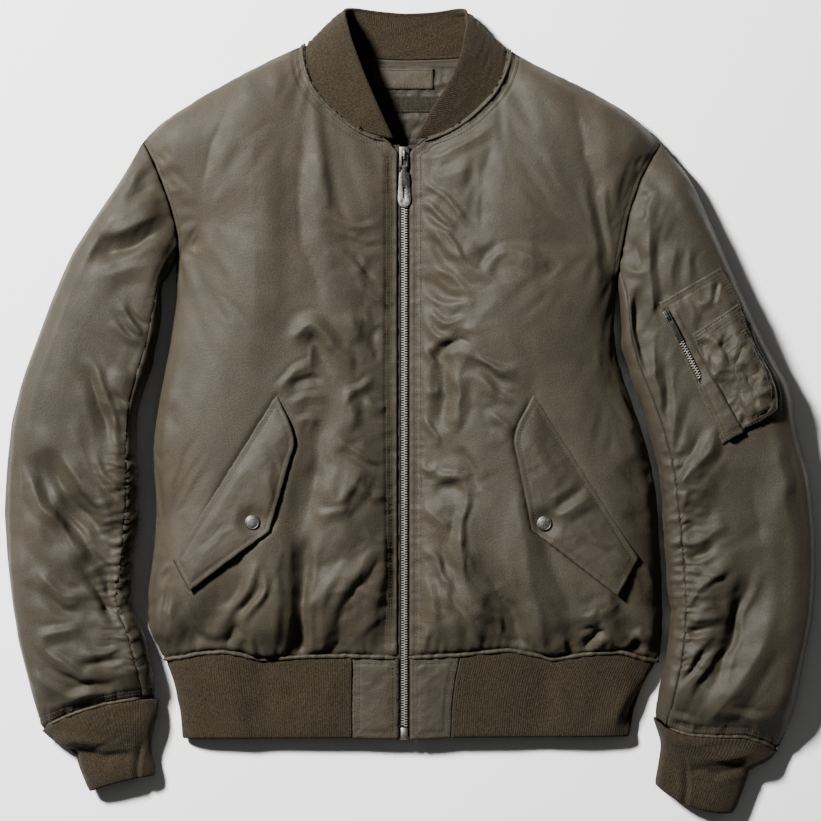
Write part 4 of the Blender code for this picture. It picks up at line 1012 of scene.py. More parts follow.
# %% Folds of the left front
FOLDS["front_left"] = [
    (4, 1.8, (8, 243), (34, 248), (64, 262), (84, 276)),
    (7, 2.2, (12, 232), (40, 226), (66, 234)),
    (10, -2.6, (76, 262), (72, 215), (70, 160)),
    (4, 3.0, (8, 221), (34, 200), (62, 170)),
    (3.5, 2.4, (12, 184), (30, 172), (48, 150), (58, 128)),
    (3.5, 2.6, (14, 108), (28, 90), (40, 84), (56, 90)),
    (3.5, 2.4, (10, 68), (20, 52), (26, 40)),
    (3.5, 2.4, (10, -6), (22, -18), (26, -36)),
    (3.5, 2.6, (10, -128), (24, -140), (30, -160), (48, -176)),
    (4, -2.4, (8, 214), (28, 203), (56, 172)),
    (3.5, 1.8, (8, 203), (26, 190), (44, 176)),
    (3.5, -1.8, (10, 196), (24, 184), (38, 172)),
    (4, 2.0, (12, 178), (32, 158), (54, 140)),
    (4, -2.0, (14, 170), (30, 150), (50, 134)),
    (4, 2.2, (18, 142), (42, 128), (60, 104)),
    (5, -2.6, (12, 130), (32, 114), (50, 104)),
    (4, 1.8, (12, 116), (34, 104), (62, 100)),
    (3.5, 2.2, (12, 96), (22, 78), (36, 70), (76, 66)),
    (6, -5.5, (24, 40), (28, 60), (46, 68), (74, 64)),
    (26, 4.2, (108, 250), (116, 190), (118, 110), (126, 20)),
    (7, 2.6, (62, 118), (72, 142), (98, 152), (124, 142), (140, 112)),
    (7, -3.2, (78, 158), (70, 146), (60, 134)),
    (4, 2.6, (46, 60), (66, 46), (90, 38), (106, 40)),
    (5, -3.0, (54, 50), (74, 36), (96, 20)),
    (16, -4.0, (152, 318), (166, 262), (174, 214), (182, 170)),
    (4, -3.0, (178, 232), (181, 190), (186, 158), (196, 130)),
    (11, -4.6, (32, 66), (33, 20), (34, -26)),
    (7, 2.8, (50, 50), (48, 12), (50, -26)),
    (4, 2.0, (66, 30), (84, 16), (100, 6)),
    (4, 2.0, (70, -2), (86, -8), (98, -20)),
    (3.5, 1.8, (12, 20), (22, 16), (30, 20)),
    (6, -3.6, (48, -30), (58, -52), (70, -84)),
    (3.5, 2.4, (8, -48), (18, -57), (30, -50)),
    (4, 2.4, (22, -61), (40, -61), (58, -66)),
    (8, -3.4, (18, -72), (36, -72), (54, -70)),
    (4, 3.0, (56, -64), (50, -100), (51, -146), (62, -190)),
    (3.5, 2.0, (48, -118), (56, -140), (66, -158)),
    (4, 2.0, (10, -86), (26, -102), (40, -110)),
    (9, -3.6, (30, -112), (32, -140), (40, -160)),
    (5, 2.6, (12, -154), (22, -186), (30, -222)),
    (4, 2.4, (22, -166), (42, -190), (60, -206), (72, -228)),
    (4, -2.6, (32, -180), (52, -204), (66, -226)),
    (4, 2.4, (60, -184), (74, -196), (84, -204), (90, -224)),
    (11, -7.0, (62, -130), (86, -176), (102, -208), (128, -280)),
    (18, 5.5, (102, -60), (106, -120), (120, -180), (148, -300)),
    (6, 3.2, (206, -180), (186, -192), (146, -206)),
    (5.5, -7.0, (190, -208), (176, -216), (164, -232)),
    (4, -5.5, (196, -233), (210, -231), (226, -222)),
    (4, 2.4, (218, -212), (226, -220), (234, -234)),
    (3.5, 1.8, (222, -148), (230, -162), (236, -178)),
    (14, -2.4, (212, -40), (214, -90), (220, -120)),
    (4, 2.2, (18, -206), (14, -220), (16, -238)),
    (4, 2.0, (148, -216), (146, -228), (150, -240)),
]
CREASED["front_left"] = ((50, -190, 55), (45, 60, 50), (36, 190, 45), (190, -215, 45), (80, -10, 40),
                         (40, -80, 40), (60, 120, 40))


# %% All folds of a panel at once
def folded(node, x, y, narrowest=0, widest=99):
    """A panel's folds of these widths (mm) at once, their lines made a little uneven."""
    shift_x = 3.0 * noise(x, y, 21, 81) + 0.8 * noise(x, y, 8, 82)
    shift_y = 3.0 * noise(x, y, 21, 83)
    return sum(crease(x + shift_x, y + shift_y, path, width, height * min(1.35, 0.6 + width / 12))
               for width, height, *path in FOLDS[node] if narrowest <= width < widest)


def crumpled_places(node, x, y):
    """How finely crumpled the cloth is, between 0 and 1: most round a few places."""
    spread = [np.exp(-((x - px) ** 2 + (y - py) ** 2) / size ** 2) for px, py, size in CREASED[node]]
    return np.clip(0.08 + sum(spread), 0, 1)


# %% [markdown]
# ## Letting the cloth settle
#
# On the real jacket each panel is cut a little larger than the space between its seams: more so
# beside the zip, where the tape holds the cloth short, and above the hem, where the rib draws it in.
# The spare cloth buckles, and that makes most of the small folds. Blender's cloth simulation does
# the same here. The panel starts as the net with its large folds, its seams are pinned, and a shape
# key called "cut" tells the springs how large the flat cut was. The simulation works at ten times
# the real size, because Blender's cloth is tuned for pieces about a metre wide, and its result is
# read back as a net, so that nothing of it stays live in the file. How far a point may rise or fall
# is limited, because too much pressure would blow the fronts up over the pocket flaps.

# %% Cloth simulation of one panel
SETTLING_SCALE = 10
SETTLING_FRAMES = 30
PADDING_PUSH = 0.18  # pressure of the padding under the cloth
STIFFNESS = 0.15  # against bending
MOST_RISE = 5.0  # mm that a point may settle outwards, and inwards
MOST_FALL = 4.5


def buckled(net, wider, longer):
    """The net as the simulation leaves it."""
    columns, rows = net.shape[0] - 1, net.shape[1] - 1
    bm = bmesh.new()
    bmesh.ops.create_grid(bm, x_segments=columns, y_segments=rows, size=0.5)
    spots = np.array([vert.co for vert in bm.verts])[:, :2] + 0.5
    i, j = np.rint(spots * (columns, rows)).astype(int).T
    panel = joined_object("settling", bm, None)
    panel.data.vertices.foreach_set("co", (net[i, j] * MM * SETTLING_SCALE).ravel())
    across = np.linalg.norm(np.diff(net, axis=0), axis=-1) * (1 + wider[1:])
    along = np.linalg.norm(np.diff(net, axis=1), axis=-1) * (1 + longer[:, 1:])
    cut_net = np.zeros_like(net)
    cut_net[1:, :, 0] = across.cumsum(axis=0)
    cut_net[:, 1:, 1] = along.cumsum(axis=1)
    panel.shape_key_add(name="sewn")
    cut = panel.shape_key_add(name="cut")
    cut.data.foreach_set("co", (cut_net[i, j] * MM * SETTLING_SCALE).ravel())
    cut.value = 0
    seam = panel.vertex_groups.new(name="seam")
    edge = np.flatnonzero((i == 0) | (i == columns) | (j == 0) | (j == rows))
    seam.add(edge.tolist(), 1.0, "REPLACE")
    drape = panel.modifiers.new("drape", "CLOTH")
    springs = drape.settings
    springs.quality = 6
    springs.mass = 0.3
    springs.tension_stiffness = springs.compression_stiffness = 30
    springs.shear_stiffness = 10
    springs.bending_stiffness = STIFFNESS
    springs.air_damping = 2
    springs.vertex_group_mass = "seam"
    springs.rest_shape_key = cut
    springs.use_pressure = True
    springs.uniform_pressure_force = PADDING_PUSH
    springs.effector_weights.gravity = 0
    drape.collision_settings.use_collision = False
    for moment in range(1, SETTLING_FRAMES + 1):
        bpy.context.scene.frame_set(moment)
    done = panel.evaluated_get(bpy.context.evaluated_depsgraph_get()).data
    places = np.empty(len(done.vertices) * 3)
    done.vertices.foreach_get("co", places)
    made = net.copy()
    made[i, j] = places.reshape(-1, 3) / MM / SETTLING_SCALE
    bpy.data.objects.remove(panel, do_unlink=True)
    bpy.context.scene.frame_set(1)
    return made


# %% How far the cloth may settle
def settled(net, wider, longer):
    """The buckled net. wider and longer say by how much its cut was larger, at each point."""
    normal = outward(net)
    moved = buckled(net, wider, longer) - net
    rise = (moved * normal).sum(axis=-1)
    most = np.where(rise > 0, MOST_RISE, MOST_FALL)
    capped = most * np.tanh(rise / most)
    print(f"settled {len(net) - 1} x {len(net[0]) - 1}: {rise.min():.1f} to {rise.max():.1f} mm")
    return net + moved + (capped - rise)[..., None] * normal


# %% [markdown]
# ## The fronts
#
# Each front is one panel from the shoulder to the hem. Its edges are held in seams: the cloth turns
# down into them, and puckers beside them. At the hem, the wide padded panel is eased into a shorter
# rib, so its gathers are deep and reach a few centimetres up. Where a pocket flap lies on it, it is
# pressed down under the flap. Its wide folds are laid on before it settles. The narrow ones are too
# fine for the simulation's net, and are laid on after it.

# %% The folded edge beside the zip
PLACKET_LIP = {"right": 3.6, "left": 5.2}  # mm beyond the sewn edge, towards the teeth
PLACKET_ROWS = {"right": (7.0, 11.5), "left": (7.4, 12.0)}  # mm from that edge to its stitches
SLIDER_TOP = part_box("zip_slider")[1].y / MM  # 253 mm: the neck begins just above


def lipped(net, side):
    """The net with its folded edge brought on to the zip's tape."""
    net = net if side == "right" else net[::-1]
    away = unit((net[-1] - net[-3]) * (1, 0.2, 0))
    lip = PLACKET_LIP[side] * fade((SLIDER_TOP + 1 - net[-1, :, 1:2]) / 8)
    net = np.concatenate([net, (net[-1] + 0.5 * lip * away)[None], (net[-1] + lip * away)[None]])
    return net if side == "right" else net[::-1]


# %% The cloth under a pocket flap
def eased(height):
    """Each height of a net averaged with its neighbours'."""
    wide = np.pad(height, 1, mode="edge")
    return (wide[:-2, 1:-1] + wide[2:, 1:-1] + wide[1:-1, :-2] + wide[1:-1, 2:] + wide[1:-1, 1:-1]) / 5


def pressed(net, node, gap):
    """The net kept under a piece that lies on it, and level with that piece at its sewn edge."""
    cover = nets[node]
    tree = tree_of(cover)
    sewn_edge = through(cover[:, -1], np.linspace(0, len(cover) - 1, 120))
    low, high = cover.min(axis=(0, 1))[:2], cover.max(axis=(0, 1))[:2]
    under = ((net[..., :2] > low) & (net[..., :2] < high)).all(axis=-1)
    drop = np.zeros(net.shape[:2])
    for index in np.argwhere(under):
        x, y, z = net[tuple(index)]
        hit = tree.ray_cast(Vector((x, y, 100)), DOWN)[0]
        if hit:
            away = np.hypot(sewn_edge[:, 0] - x, sewn_edge[:, 1] - y).min()
            drop[tuple(index)] = max(0, z - hit.z + 0.4 + (gap - 0.4) * fade(away / 14))
    spread = drop
    for _ in range(4):
        spread = eased(spread)
    net[..., 2] -= np.maximum(drop, spread)
    return net


# %% One front
NARROW = 5.5  # mm
FRONT_SEED = {"right": 3, "left": 53}
FRONT_DRAG = {"right": 58, "left": 122}  # degrees, the way in which the crumples are drawn out
ARMHOLE_FROM = 130  # mm along y; above it the side edge is the armhole's seam


def edges_of(net, side):
    """How far (mm) each point of a front lies from the zip, the side seam, the hem and the shoulder."""
    left, right, low, high = reach(net)
    return (right, left, low, high) if side == "right" else (left, right, low, high)


def creased_front(net, side):
    """The finer net of a front after it has settled, with its small creases and its seams."""
    node, seed = "front_" + side, FRONT_SEED[side]
    x, y = net[..., 0], net[..., 1]
    zip_edge, side_edge, low, high = edges_of(net, side)
    held = fade(zip_edge / 20) * fade(side_edge / 30) * fade(low / 9) * fade(high / 26)
    for at in PLACKET_ROWS[side]:
        lift = sewn(zip_edge, at, y, seed + round(at), 1.1)
        net = net + lift[..., None] * outward(net)
    loose = crumpled_places(node, x, y) * held
    lift = 1.4 * folded(node, x, y, 0, NARROW) * held
    lift += 2.6 * facets(x, y, 27, seed, FRONT_DRAG[side], 1.7) * loose
    lift += 0.8 * facets(x, y, 11, seed + 8, 20, 1.5) * loose ** 2
    lift += puckers(low, x, 8, 1.6, 12, seed + 4) + puckers(zip_edge, y, 6.5, 0.9, 12, seed + 5)
    lift += puckers(side_edge, y, 14, 0.6, 14, seed + 6) + puckers(high, x, 12, 0.5, 12, seed + 7)
    lift += groove(low, 2.6, 3.2) + groove(side_edge, 0.7, 1.6) + groove(high, 1.0, 2.0)
    lift += sewn(side_edge, 4, y, seed + 13, 0.6) * fade((y - ARMHOLE_FROM) / 20)
    lift += rounded(zip_edge, 1.3)
    lift *= 1 - fade((y - SLIDER_TOP + 9) / 10) * (1 - fade(zip_edge / 8))
    lift = np.where(lift < 0, 4 * np.tanh(lift / 4), lift)
    return net + lift[..., None] * outward(net)


def front(side):
    """One front, between the side seam and the zip."""
    node = "front_" + side
    net = finer(nets[node], 3.5, 3.5)
    zip_edge, side_edge, low, high = edges_of(net, side)
    held = fade(zip_edge / 24) * fade(side_edge / 30) * fade(low / 9) * fade(high / 26)
    net = net + (folded(node, net[..., 0], net[..., 1], NARROW) * held)[..., None] * outward(net)
    wider = 0.014 + 0.10 * np.exp(-low / 45)
    longer = 0.015 + 0.085 * np.exp(-zip_edge / 40) + 0.03 * np.exp(-side_edge / 30)
    net = finer(lipped(settled(net, wider, longer), side), 2.3, 2.35)
    net = pressed(creased_front(net, side), "pocket_flap_" + side, 3.0)
    cloth("front_shell_" + side, net, 1.2, node, nylon)


# %% Both fronts, with their stitches and piping
for side, zip_edge, side_edge, way in (("right", "right", "left", -1), ("left", "left", "right", 1)):
    front(side)
    shell = "front_shell_" + side
    for at in PLACKET_ROWS[side]:
        sew(*line_on(shell, zip_edge, at))
    points, normals = line_on(shell, side_edge, 4)
    armhole = points[:, 1] > ARMHOLE_FROM + 12
    sew(points[armhole], normals[armhole])
    net = nets["front_" + side][::way]
    inwards = unit(net[1] - net[0])
    at_neck = net[0, :, 1] > SLIDER_TOP - 3
    points = curve((net[0] + 2.2 * inwards)[at_neck])
    normals = curve((outward(net)[0] * way)[at_neck])
    roll("neck_piping_" + side, points, normals, 1.6, 401, 0.6)
    roll("hem_piping_" + side, *line_on(shell, "low", 0.2), 2.3, 411, 0.8)

# %% Folds of the right sleeve
FOLDS["sleeve_top_right"] = [
    (12, 3.8, (-232, 186), (-262, 177), (-296, 164)),
    (7, -4.2, (-228, 177), (-256, 162), (-284, 152), (-308, 149)),
    (12, 2.6, (-240, 142), (-272, 134), (-306, 126)),
    (6, 2.0, (-240, 236), (-256, 232), (-272, 222)),
    (8, -2.4, (-236, 214), (-256, 212), (-276, 204)),
    (3.5, 2.6, (-277, 106), (-269, 88), (-254, 66)),
    (3.5, 2.0, (-290, 84), (-272, 72), (-250, 64)),
    (4, -3.0, (-272, 100), (-258, 86), (-240, 76)),
    (4, 2.8, (-312, 58), (-299, 36), (-288, 12), (-279, -16), (-272, -40)),
    (5, -3.2, (-312, 46), (-302, 22), (-293, -6), (-284, -34)),
    (4, -3.2, (-286, 20), (-270, 8), (-256, 0)),
    (4, 2.2, (-284, 8), (-270, -2), (-258, -12)),
    (3.5, -3.6, (-277, -14), (-270, -36), (-268, -54)),
    (8, 2.4, (-352, -14), (-324, -54), (-294, -96), (-274, -116)),
    (6, 2.4, (-326, -10), (-304, -60), (-282, -98)),
    (4.5, -2.2, (-318, -26), (-298, -66), (-276, -92)),
    (4, 2.2, (-304, -34), (-290, -66), (-270, -84)),
    (4, -2.0, (-342, -34), (-314, -78), (-286, -108)),
    (11, -5.5, (-352, -34), (-332, -72), (-306, -106), (-282, -136)),
    (4, -3.0, (-362, -50), (-342, -86), (-316, -120), (-296, -144), (-276, -162)),
    (6, 3.6, (-370, -40), (-362, -70), (-346, -96), (-322, -130), (-306, -148)),
    (12, 3.2, (-358, -90), (-340, -122), (-318, -152)),
    (5, -4.5, (-312, -146), (-304, -166), (-290, -188), (-276, -206)),
    (9, -5.5, (-300, -150), (-286, -170), (-274, -190)),
    (6, 3.2, (-362, -150), (-340, -172), (-308, -182)),
    (5, -2.2, (-356, -170), (-336, -188), (-312, -192)),
    (5, 3.0, (-358, -216), (-338, -210), (-314, -206)),
    (4, 3.0, (-356, -210), (-344, -232), (-322, -250), (-298, -268)),
    (5, 2.8, (-318, -230), (-294, -233), (-276, -224)),
    (5, -2.8, (-324, -244), (-298, -242), (-276, -238)),
    (5, -2.6, (-352, -240), (-334, -256), (-308, -263), (-284, -262)),
    (4, 2.8, (-362, -246), (-348, -264), (-322, -273), (-296, -268)),
    (6, 2.8, (-362, -286), (-330, -278), (-298, -270), (-272, -266)),
    (14, -3.0, (-374, -20), (-378, -90), (-374, -150)),
]
CREASED["sleeve_top_right"] = ((-280, -100, 70), (-290, -220, 60), (-262, 70, 40), (-270, 0, 40))

# %% Folds of the left sleeve
FOLDS["sleeve_top_left"] = [
    (3.5, 2.8, (207, 178), (211, 198), (222, 212), (242, 211)),
    (3.5, 2.6, (212, 180), (226, 183), (231, 198), (242, 213)),
    (4, -2.8, (214, 190), (220, 202), (232, 204)),
    (6, 3.4, (236, 208), (229, 170), (230, 130), (234, 92), (240, 70)),
    (8, -2.6, (214, 168), (216, 150), (222, 138)),
    (4, 2.2, (203, 142), (214, 133), (230, 131)),
    (10, -4.6, (214, 116), (219, 76), (222, 20)),
    (6, 2.6, (256, 160), (249, 138), (252, 112)),
    (6, 1.8, (270, 160), (266, 138), (272, 116)),
    (5, 3.0, (206, 110), (208, 70), (214, 34)),
    (3.5, -5.0, (210, 34), (217, 4), (227, -32)),
    (7, 3.4, (232, 84), (236, 40), (238, 0), (236, -36)),
    (5, -2.6, (246, 50), (244, 14), (246, -20)),
    (6, 2.8, (258, 24), (253, -10), (244, -44), (238, -66)),
    (7, 3.8, (292, 0), (286, -38), (266, -64), (248, -96), (242, -124)),
    (5, -3.0, (278, -10), (268, -44), (252, -68)),
    (4, 2.4, (270, -70), (254, -98), (246, -136), (246, -170)),
    (6, 2.8, (306, -106), (284, -120), (256, -134)),
    (5, -2.6, (296, -124), (276, -138), (254, -142)),
    (4, 3.2, (304, -142), (286, -164), (262, -190), (250, -222)),
    (4, 2.4, (300, -156), (280, -158), (256, -152)),
    (5, -4.4, (242, -184), (260, -180), (280, -176)),
    (4, 2.8, (246, -190), (262, -188), (280, -172)),
    (6, 3.0, (300, -192), (284, -200), (262, -204)),
    (5, -3.2, (294, -206), (274, -214), (256, -214)),
    (5, 3.6, (296, -206), (274, -236), (250, -260), (236, -274)),
    (4, -3.2, (288, -224), (266, -252), (244, -272)),
    (4, 2.4, (300, -222), (284, -248), (262, -272)),
    (5, -3.4, (242, -254), (254, -246), (266, -232)),
    (5, -3.8, (332, -142), (318, -178), (309, -208), (301, -240), (280, -292)),
    (12, 3.6, (350, -190), (336, -228), (318, -258), (296, -288), (274, -302)),
    (5, 3.0, (296, -292), (320, -290), (350, -300)),
    (4, 2.4, (236, -272), (252, -290), (280, -302)),
    (4, -2.4, (234, -282), (250, -298), (270, -306)),
    (8, 2.0, (352, -20), (356, -70), (366, -120)),
    (16, -2.4, (326, -50), (330, -100), (336, -130)),
]
CREASED["sleeve_top_left"] = ((250, -190, 70), (255, -60, 55), (225, 80, 50), (280, -270, 50),
                              (225, 190, 30))

# %% Folds of the back and of the under sleeves
FOLDS["back"] = [
    (16, 2.6, (-120, 300), (-150, 210), (-168, 110), (-172, 0)),
    (12, -2.4, (-70, 290), (-96, 190), (-112, 80), (-110, -30)),
    (18, 2.4, (40, 270), (46, 170), (30, 60), (34, -60)),
    (12, -2.2, (104, 300), (110, 200), (96, 90), (102, -10)),
    (14, 2.6, (150, 230), (168, 120), (174, 20), (160, -90)),
    (8, 2.4, (-216, 150), (-186, 120), (-150, 100)),
    (8, -2.4, (-214, 132), (-180, 98), (-148, 80)),
    (8, 2.4, (196, 130), (162, 104), (130, 90)),
    (8, -2.2, (196, 112), (160, 84), (126, 72)),
    (10, 3.0, (-196, -236), (-186, -190), (-160, -130)),
    (9, -3.4, (-150, -246), (-142, -206), (-128, -150)),
    (12, 3.2, (-96, -246), (-90, -190), (-60, -120)),
    (9, -3.4, (-40, -246), (-34, -200), (-26, -150)),
    (12, 3.0, (20, -246), (14, -190), (26, -110)),
    (9, -3.2, (72, -246), (70, -204), (84, -160)),
    (11, 3.2, (124, -246), (128, -196), (112, -130)),
    (9, -3.2, (176, -246), (172, -206), (180, -160)),
    (9, 2.6, (216, -240), (206, -196), (214, -150)),
]
FOLDS["sleeve_under_right"] = [
    (10, 2.4, (-250, 190), (-290, 150), (-330, 110)),
    (9, -2.4, (-246, 160), (-284, 116), (-330, 70)),
    (10, 2.6, (-262, 70), (-300, 40), (-350, 30)),
    (8, -2.8, (-268, 20), (-310, -10), (-360, -16)),
    (10, 2.8, (-276, -40), (-316, -60), (-366, -50)),
    (8, -2.8, (-280, -96), (-322, -104), (-370, -90)),
    (10, 2.6, (-276, -140), (-316, -156), (-364, -150)),
    (8, -2.6, (-272, -196), (-312, -206), (-356, -200)),
    (9, 2.4, (-262, -240), (-300, -250), (-346, -250)),
]
FOLDS["sleeve_under_left"] = [
    (10, 2.4, (228, 196), (268, 160), (308, 120)),
    (9, -2.4, (226, 150), (266, 110), (310, 74)),
    (10, 2.6, (232, 80), (280, 50), (330, 36)),
    (8, -2.8, (240, 20), (286, -10), (344, -20)),
    (10, 2.8, (246, -46), (300, -62), (360, -52)),
    (8, -2.8, (250, -104), (304, -112), (366, -96)),
    (10, 2.6, (250, -150), (300, -164), (360, -160)),
    (8, -2.6, (246, -206), (296, -214), (350, -210)),
    (9, 2.4, (244, -256), (292, -264), (344, -262)),
]
for side, way in (("right", -1), ("left", 1)):
    CREASED["sleeve_under_" + side] = ((260 * way, -160, 90), (250 * way, 60, 80))
CREASED["back"] = ((0, -200, 160), (-150, 60, 70), (150, 60, 70))
print("folds:", {node: len(rows) for node, rows in FOLDS.items()})

# %% [markdown]
# ## The sleeves
#
# A sleeve has a top panel and a wider under one, which comes round on to the upper face at the inner
# arm. The seam between them is drawn up for a stretch at the elbow, where short dense gathers cross
# it, so that the sleeve bends forwards. Both panels share one seam line, so the gathers are worked
# out from the distance along that line, and they meet.

# %% One panel of a sleeve
ELBOW = (-262, -10)  # mm along y, from and to, where the seam is drawn up
SLEEVE_SEED = {("right", True): 101, ("right", False): 106, ("left", True): 111, ("left", False): 116}
SLEEVE_ROWS = (5.5, 10)  # mm from the cuff's seam to its stitches


def sleeve_panel(name, node, cell, side, top):
    """The top or the under panel of one sleeve, whose folds grow from the gathered seam."""
    net = finer(nets[node], cell, cell)
    x, y = net[..., 0], net[..., 1]
    left, right, low, high = reach(net)
    seam, outer = (right, left) if (side == "right") == top else (left, right)
    held = fade(seam / 12) * fade(outer / 22) * fade(low / 10) * fade(high / 20)
    seed, way = SLEEVE_SEED[side, top], (1 if side == "left" else -1)
    lift = (folded(node, x, y, NARROW) + 1.2 * folded(node, x, y, 0, NARROW)) * held
    loose = crumpled_places(node, x, y) * held
    lift += 2.8 * facets(x, y, 24, seed, -42 if side == "right" else 48, 2.0) * loose
    lift += 0.8 * facets(x, y, 10, seed + 8, 60 * way, 1.5) * loose ** 2
    lift += 0.9 * noise(x, y, 50, seed + 30) * held
    elbow = fade((y - ELBOW[0]) / 20) * fade((ELBOW[1] - y) / 50)
    lift += puckers(seam, y, 5.5, 3.0, 15, 71) * elbow + puckers(seam, y, 12, 0.7, 14, 73)
    lift += puckers(low, x, 6, 1.2, 14, seed + 4) + puckers(high, y, 10, 0.9, 13, seed + 5)
    lift += groove(low, 2.4, 3.0) + groove(seam, 1.6, 2.2) + groove(high, 0.8, 1.6) + groove(outer, 0.8, 2.0)
    for k, at in enumerate(SLEEVE_ROWS):
        lift += sewn(low, at, x, seed + 20 + k, 0.9)
    if not top:
        lift *= fade(net[..., 2] / 6)
    made = net + lift[..., None] * outward(net)
    made[..., 2] = np.maximum(made[..., 2], np.minimum(net[..., 2], 0.05))
    cloth(name, made, 1.2, node, shaded_sleeve_nylon)
    for at in SLEEVE_ROWS:
        sew(*line_on(name, "low", at))


# %% Both sleeves, with their piping
for side in ("right", "left"):
    sleeve_panel("sleeve_top_shell_" + side, "sleeve_top_" + side, 2.3, side, True)
    sleeve_panel("sleeve_under_shell_" + side, "sleeve_under_" + side, 3.2, side, False)
    points, normals = line_on("sleeve_top_shell_" + side, "low", 0.6)
    roll("sleeve_piping_" + side, points[2:-2], normals[2:-2], 1.8, 421, 0.6)

# %% [markdown]
# ## The back
#
# The back lies on the floor, so it is flat where it rests, and its folds show only as low dents that
# go up from the floor. At its sides and shoulders it comes round to meet the fronts.

# %% The back
net = finer(nets["back"], 3.9, 3.9)
x, y = net[..., 0], net[..., 1]
left, right, low, high = reach(net)
dents = folded("back", x, y) + 1.6 * crumple(x, y, 44, 201, 80, 1.6) * crumpled_places("back", x, y)
dents = (dents - 1.5) * fade(low / 14) * fade(high / 20) * fade(left / 20) * fade(right / 20)
gathers = puckers(low, x, 9, 2.0, 24, 205)
gathers += puckers(left, y, 14, 0.8, 14, 206) + puckers(right, y, 14, 0.8, 14, 207)
edges = groove(left, 1.6, 2.2) + groove(right, 1.6, 2.2) + groove(low, 2.0, 3.0) + groove(high, 1.4, 2.2)
lift = np.minimum(dents, 0) * 1.4 + np.minimum(gathers, 0.5) + edges
made = net + lift[..., None] * outward(net)
made[..., 2] = np.maximum(made[..., 2], 0.0)
cloth("back_shell", made, 1.2, "back", nylon)

# %% [markdown]
# ## Rib knit
#
# Collar, cuffs and hem are bands of rib knit, doubled, so each is a thick soft wall whose edges are
# rounded. The band itself sags and folds a little. Its ribs are too fine and too many to model all
# round a hem, so they are bump and painted shade in the knit's finish, which stands them across the band.

# %% A band of rib
def band(name, node, cells, seed, closed=False, sag=0.6, easing=0):
    """A band of rib knit, a little uneven, and rounded at its edges. Easing evens out its bends."""
    net = finer(nets[node], *cells)
    for _ in range(easing):
        inner = (net[:-2] + net[2:] + 2 * net[1:-1]) / 4
        net = np.concatenate([net[:1], inner, net[-1:]])
    run, _, low, high = reach(net)
    lift = sag * noise(run, low, 46, seed) * fade(low / 12) * fade(high / 12)
    lift += 0.35 * noise(run, low, 14, seed + 1)
    lift += groove(high, 1.0, 2.4) + groove(low, 0.7, 1.6)
    for width, height, *path in FOLDS.get(node, []):
        lift += crease(net[..., 0], net[..., 1], path, width, height) * (outward(net)[..., 2] > 0.1)
    made = net + lift[..., None] * outward(net)
    made[..., 2] = np.maximum(made[..., 2], np.minimum(net[..., 2], 0.0))
    cloth(name, made, 2.7, node, rib, closed=closed)


# %% Collar, hem and cuffs
FOLDS["hem_rib"] = [
    (14, 2.4, (-196, -240), (-176, -268), (-150, -292)), (16, -2.6, (-150, -236), (-140, -262), (-118, -290)),
    (6, -4.5, (232, -262), (216, -286), (206, -312)), (10, 2.6, (214, -262), (200, -290), (194, -318)),
    (12, -2.0, (120, -244), (132, -276), (128, -312)), (14, 1.8, (-70, -246), (-80, -280), (-72, -314)),
]
FOLDS["cuff_right"] = [
    (3, -2.6, (-256, -312), (-262, -344), (-258, -374)), (6, -3.4, (-330, -322), (-306, -330), (-284, -336)),
    (5, 2.4, (-338, -312), (-306, -318), (-270, -318)), (4, -2.2, (-300, -336), (-280, -330), (-262, -332)),
]
FOLDS["cuff_left"] = [
    (3, -2.6, (262, -330), (266, -360), (262, -392)), (6, -3.4, (330, -338), (306, -346), (284, -350)),
    (5, 2.4, (340, -326), (306, -334), (270, -334)), (4, -2.2, (300, -352), (280, -346), (262, -348)),
]
band("hem_rib_knit", "hem_rib", (2.3, 2.3), 301)
band("collar_knit", "collar", (2.2, 2.2), 311, easing=12)
for side in ("right", "left"):
    band("cuff_knit_" + side, "cuff_" + side, (1.6, 2.0), 321, closed=True, sag=1.0)

# %% [markdown]
# ## Patches, flaps and pockets
#
# These are smaller pieces of the same nylon, sewn on by their edges. Each is turned over at its
# edge, puffed a little in its middle, and furrowed by one or two rows of stitches. The flaps hide
# the slanted hand pockets and are padded. The utility pocket on the left sleeve has two narrow
# pockets for pens on it, whose cloth is loose and badly crumpled, and a zip along its inner edge.

# %% A piece sewn on by its edges
PATCH_LIP = {"right": 4.8, "left": 4.4}  # mm that a hem patch reaches on to the zip's tape


def sewn_on(name, node, rows, puff, crumpled, seed, wall, size=12.0, edge=1.6, cell=1.7,
            depth=0.75, extra=None):
    """A piece with a turned edge, a puffed middle, crumpled cloth and rows of stitches round it."""
    net = finer(nets[node], cell, cell)
    x, y = net[..., 0], net[..., 1]
    for side, way in (("right", 1), ("left", -1)):
        if node == "hem_patch_" + side:
            from_zip = (way * x).max() - way * x
            x += way * PATCH_LIP[side] * np.exp(-(from_zip / 5) ** 2)
    away, run = from_outline(net)
    lift = puff * fade((away - 2) / 14) + crumpled * crumple(x, y, size, seed, 35, 1.3) * fade((away - 1) / 8)
    for at in rows:
        lift += sewn(away, at, run, seed + round(at), depth)
    lift += rounded(away, edge) + 0.5 * noise(run, 0 * run, 4, seed + 9) * np.exp(-away / 3)
    if extra:
        lift += extra(net)
    cloth(name, net + lift[..., None] * outward(net), wall, node, nylon)
    for at in rows:
        sew(*inset(name, at))


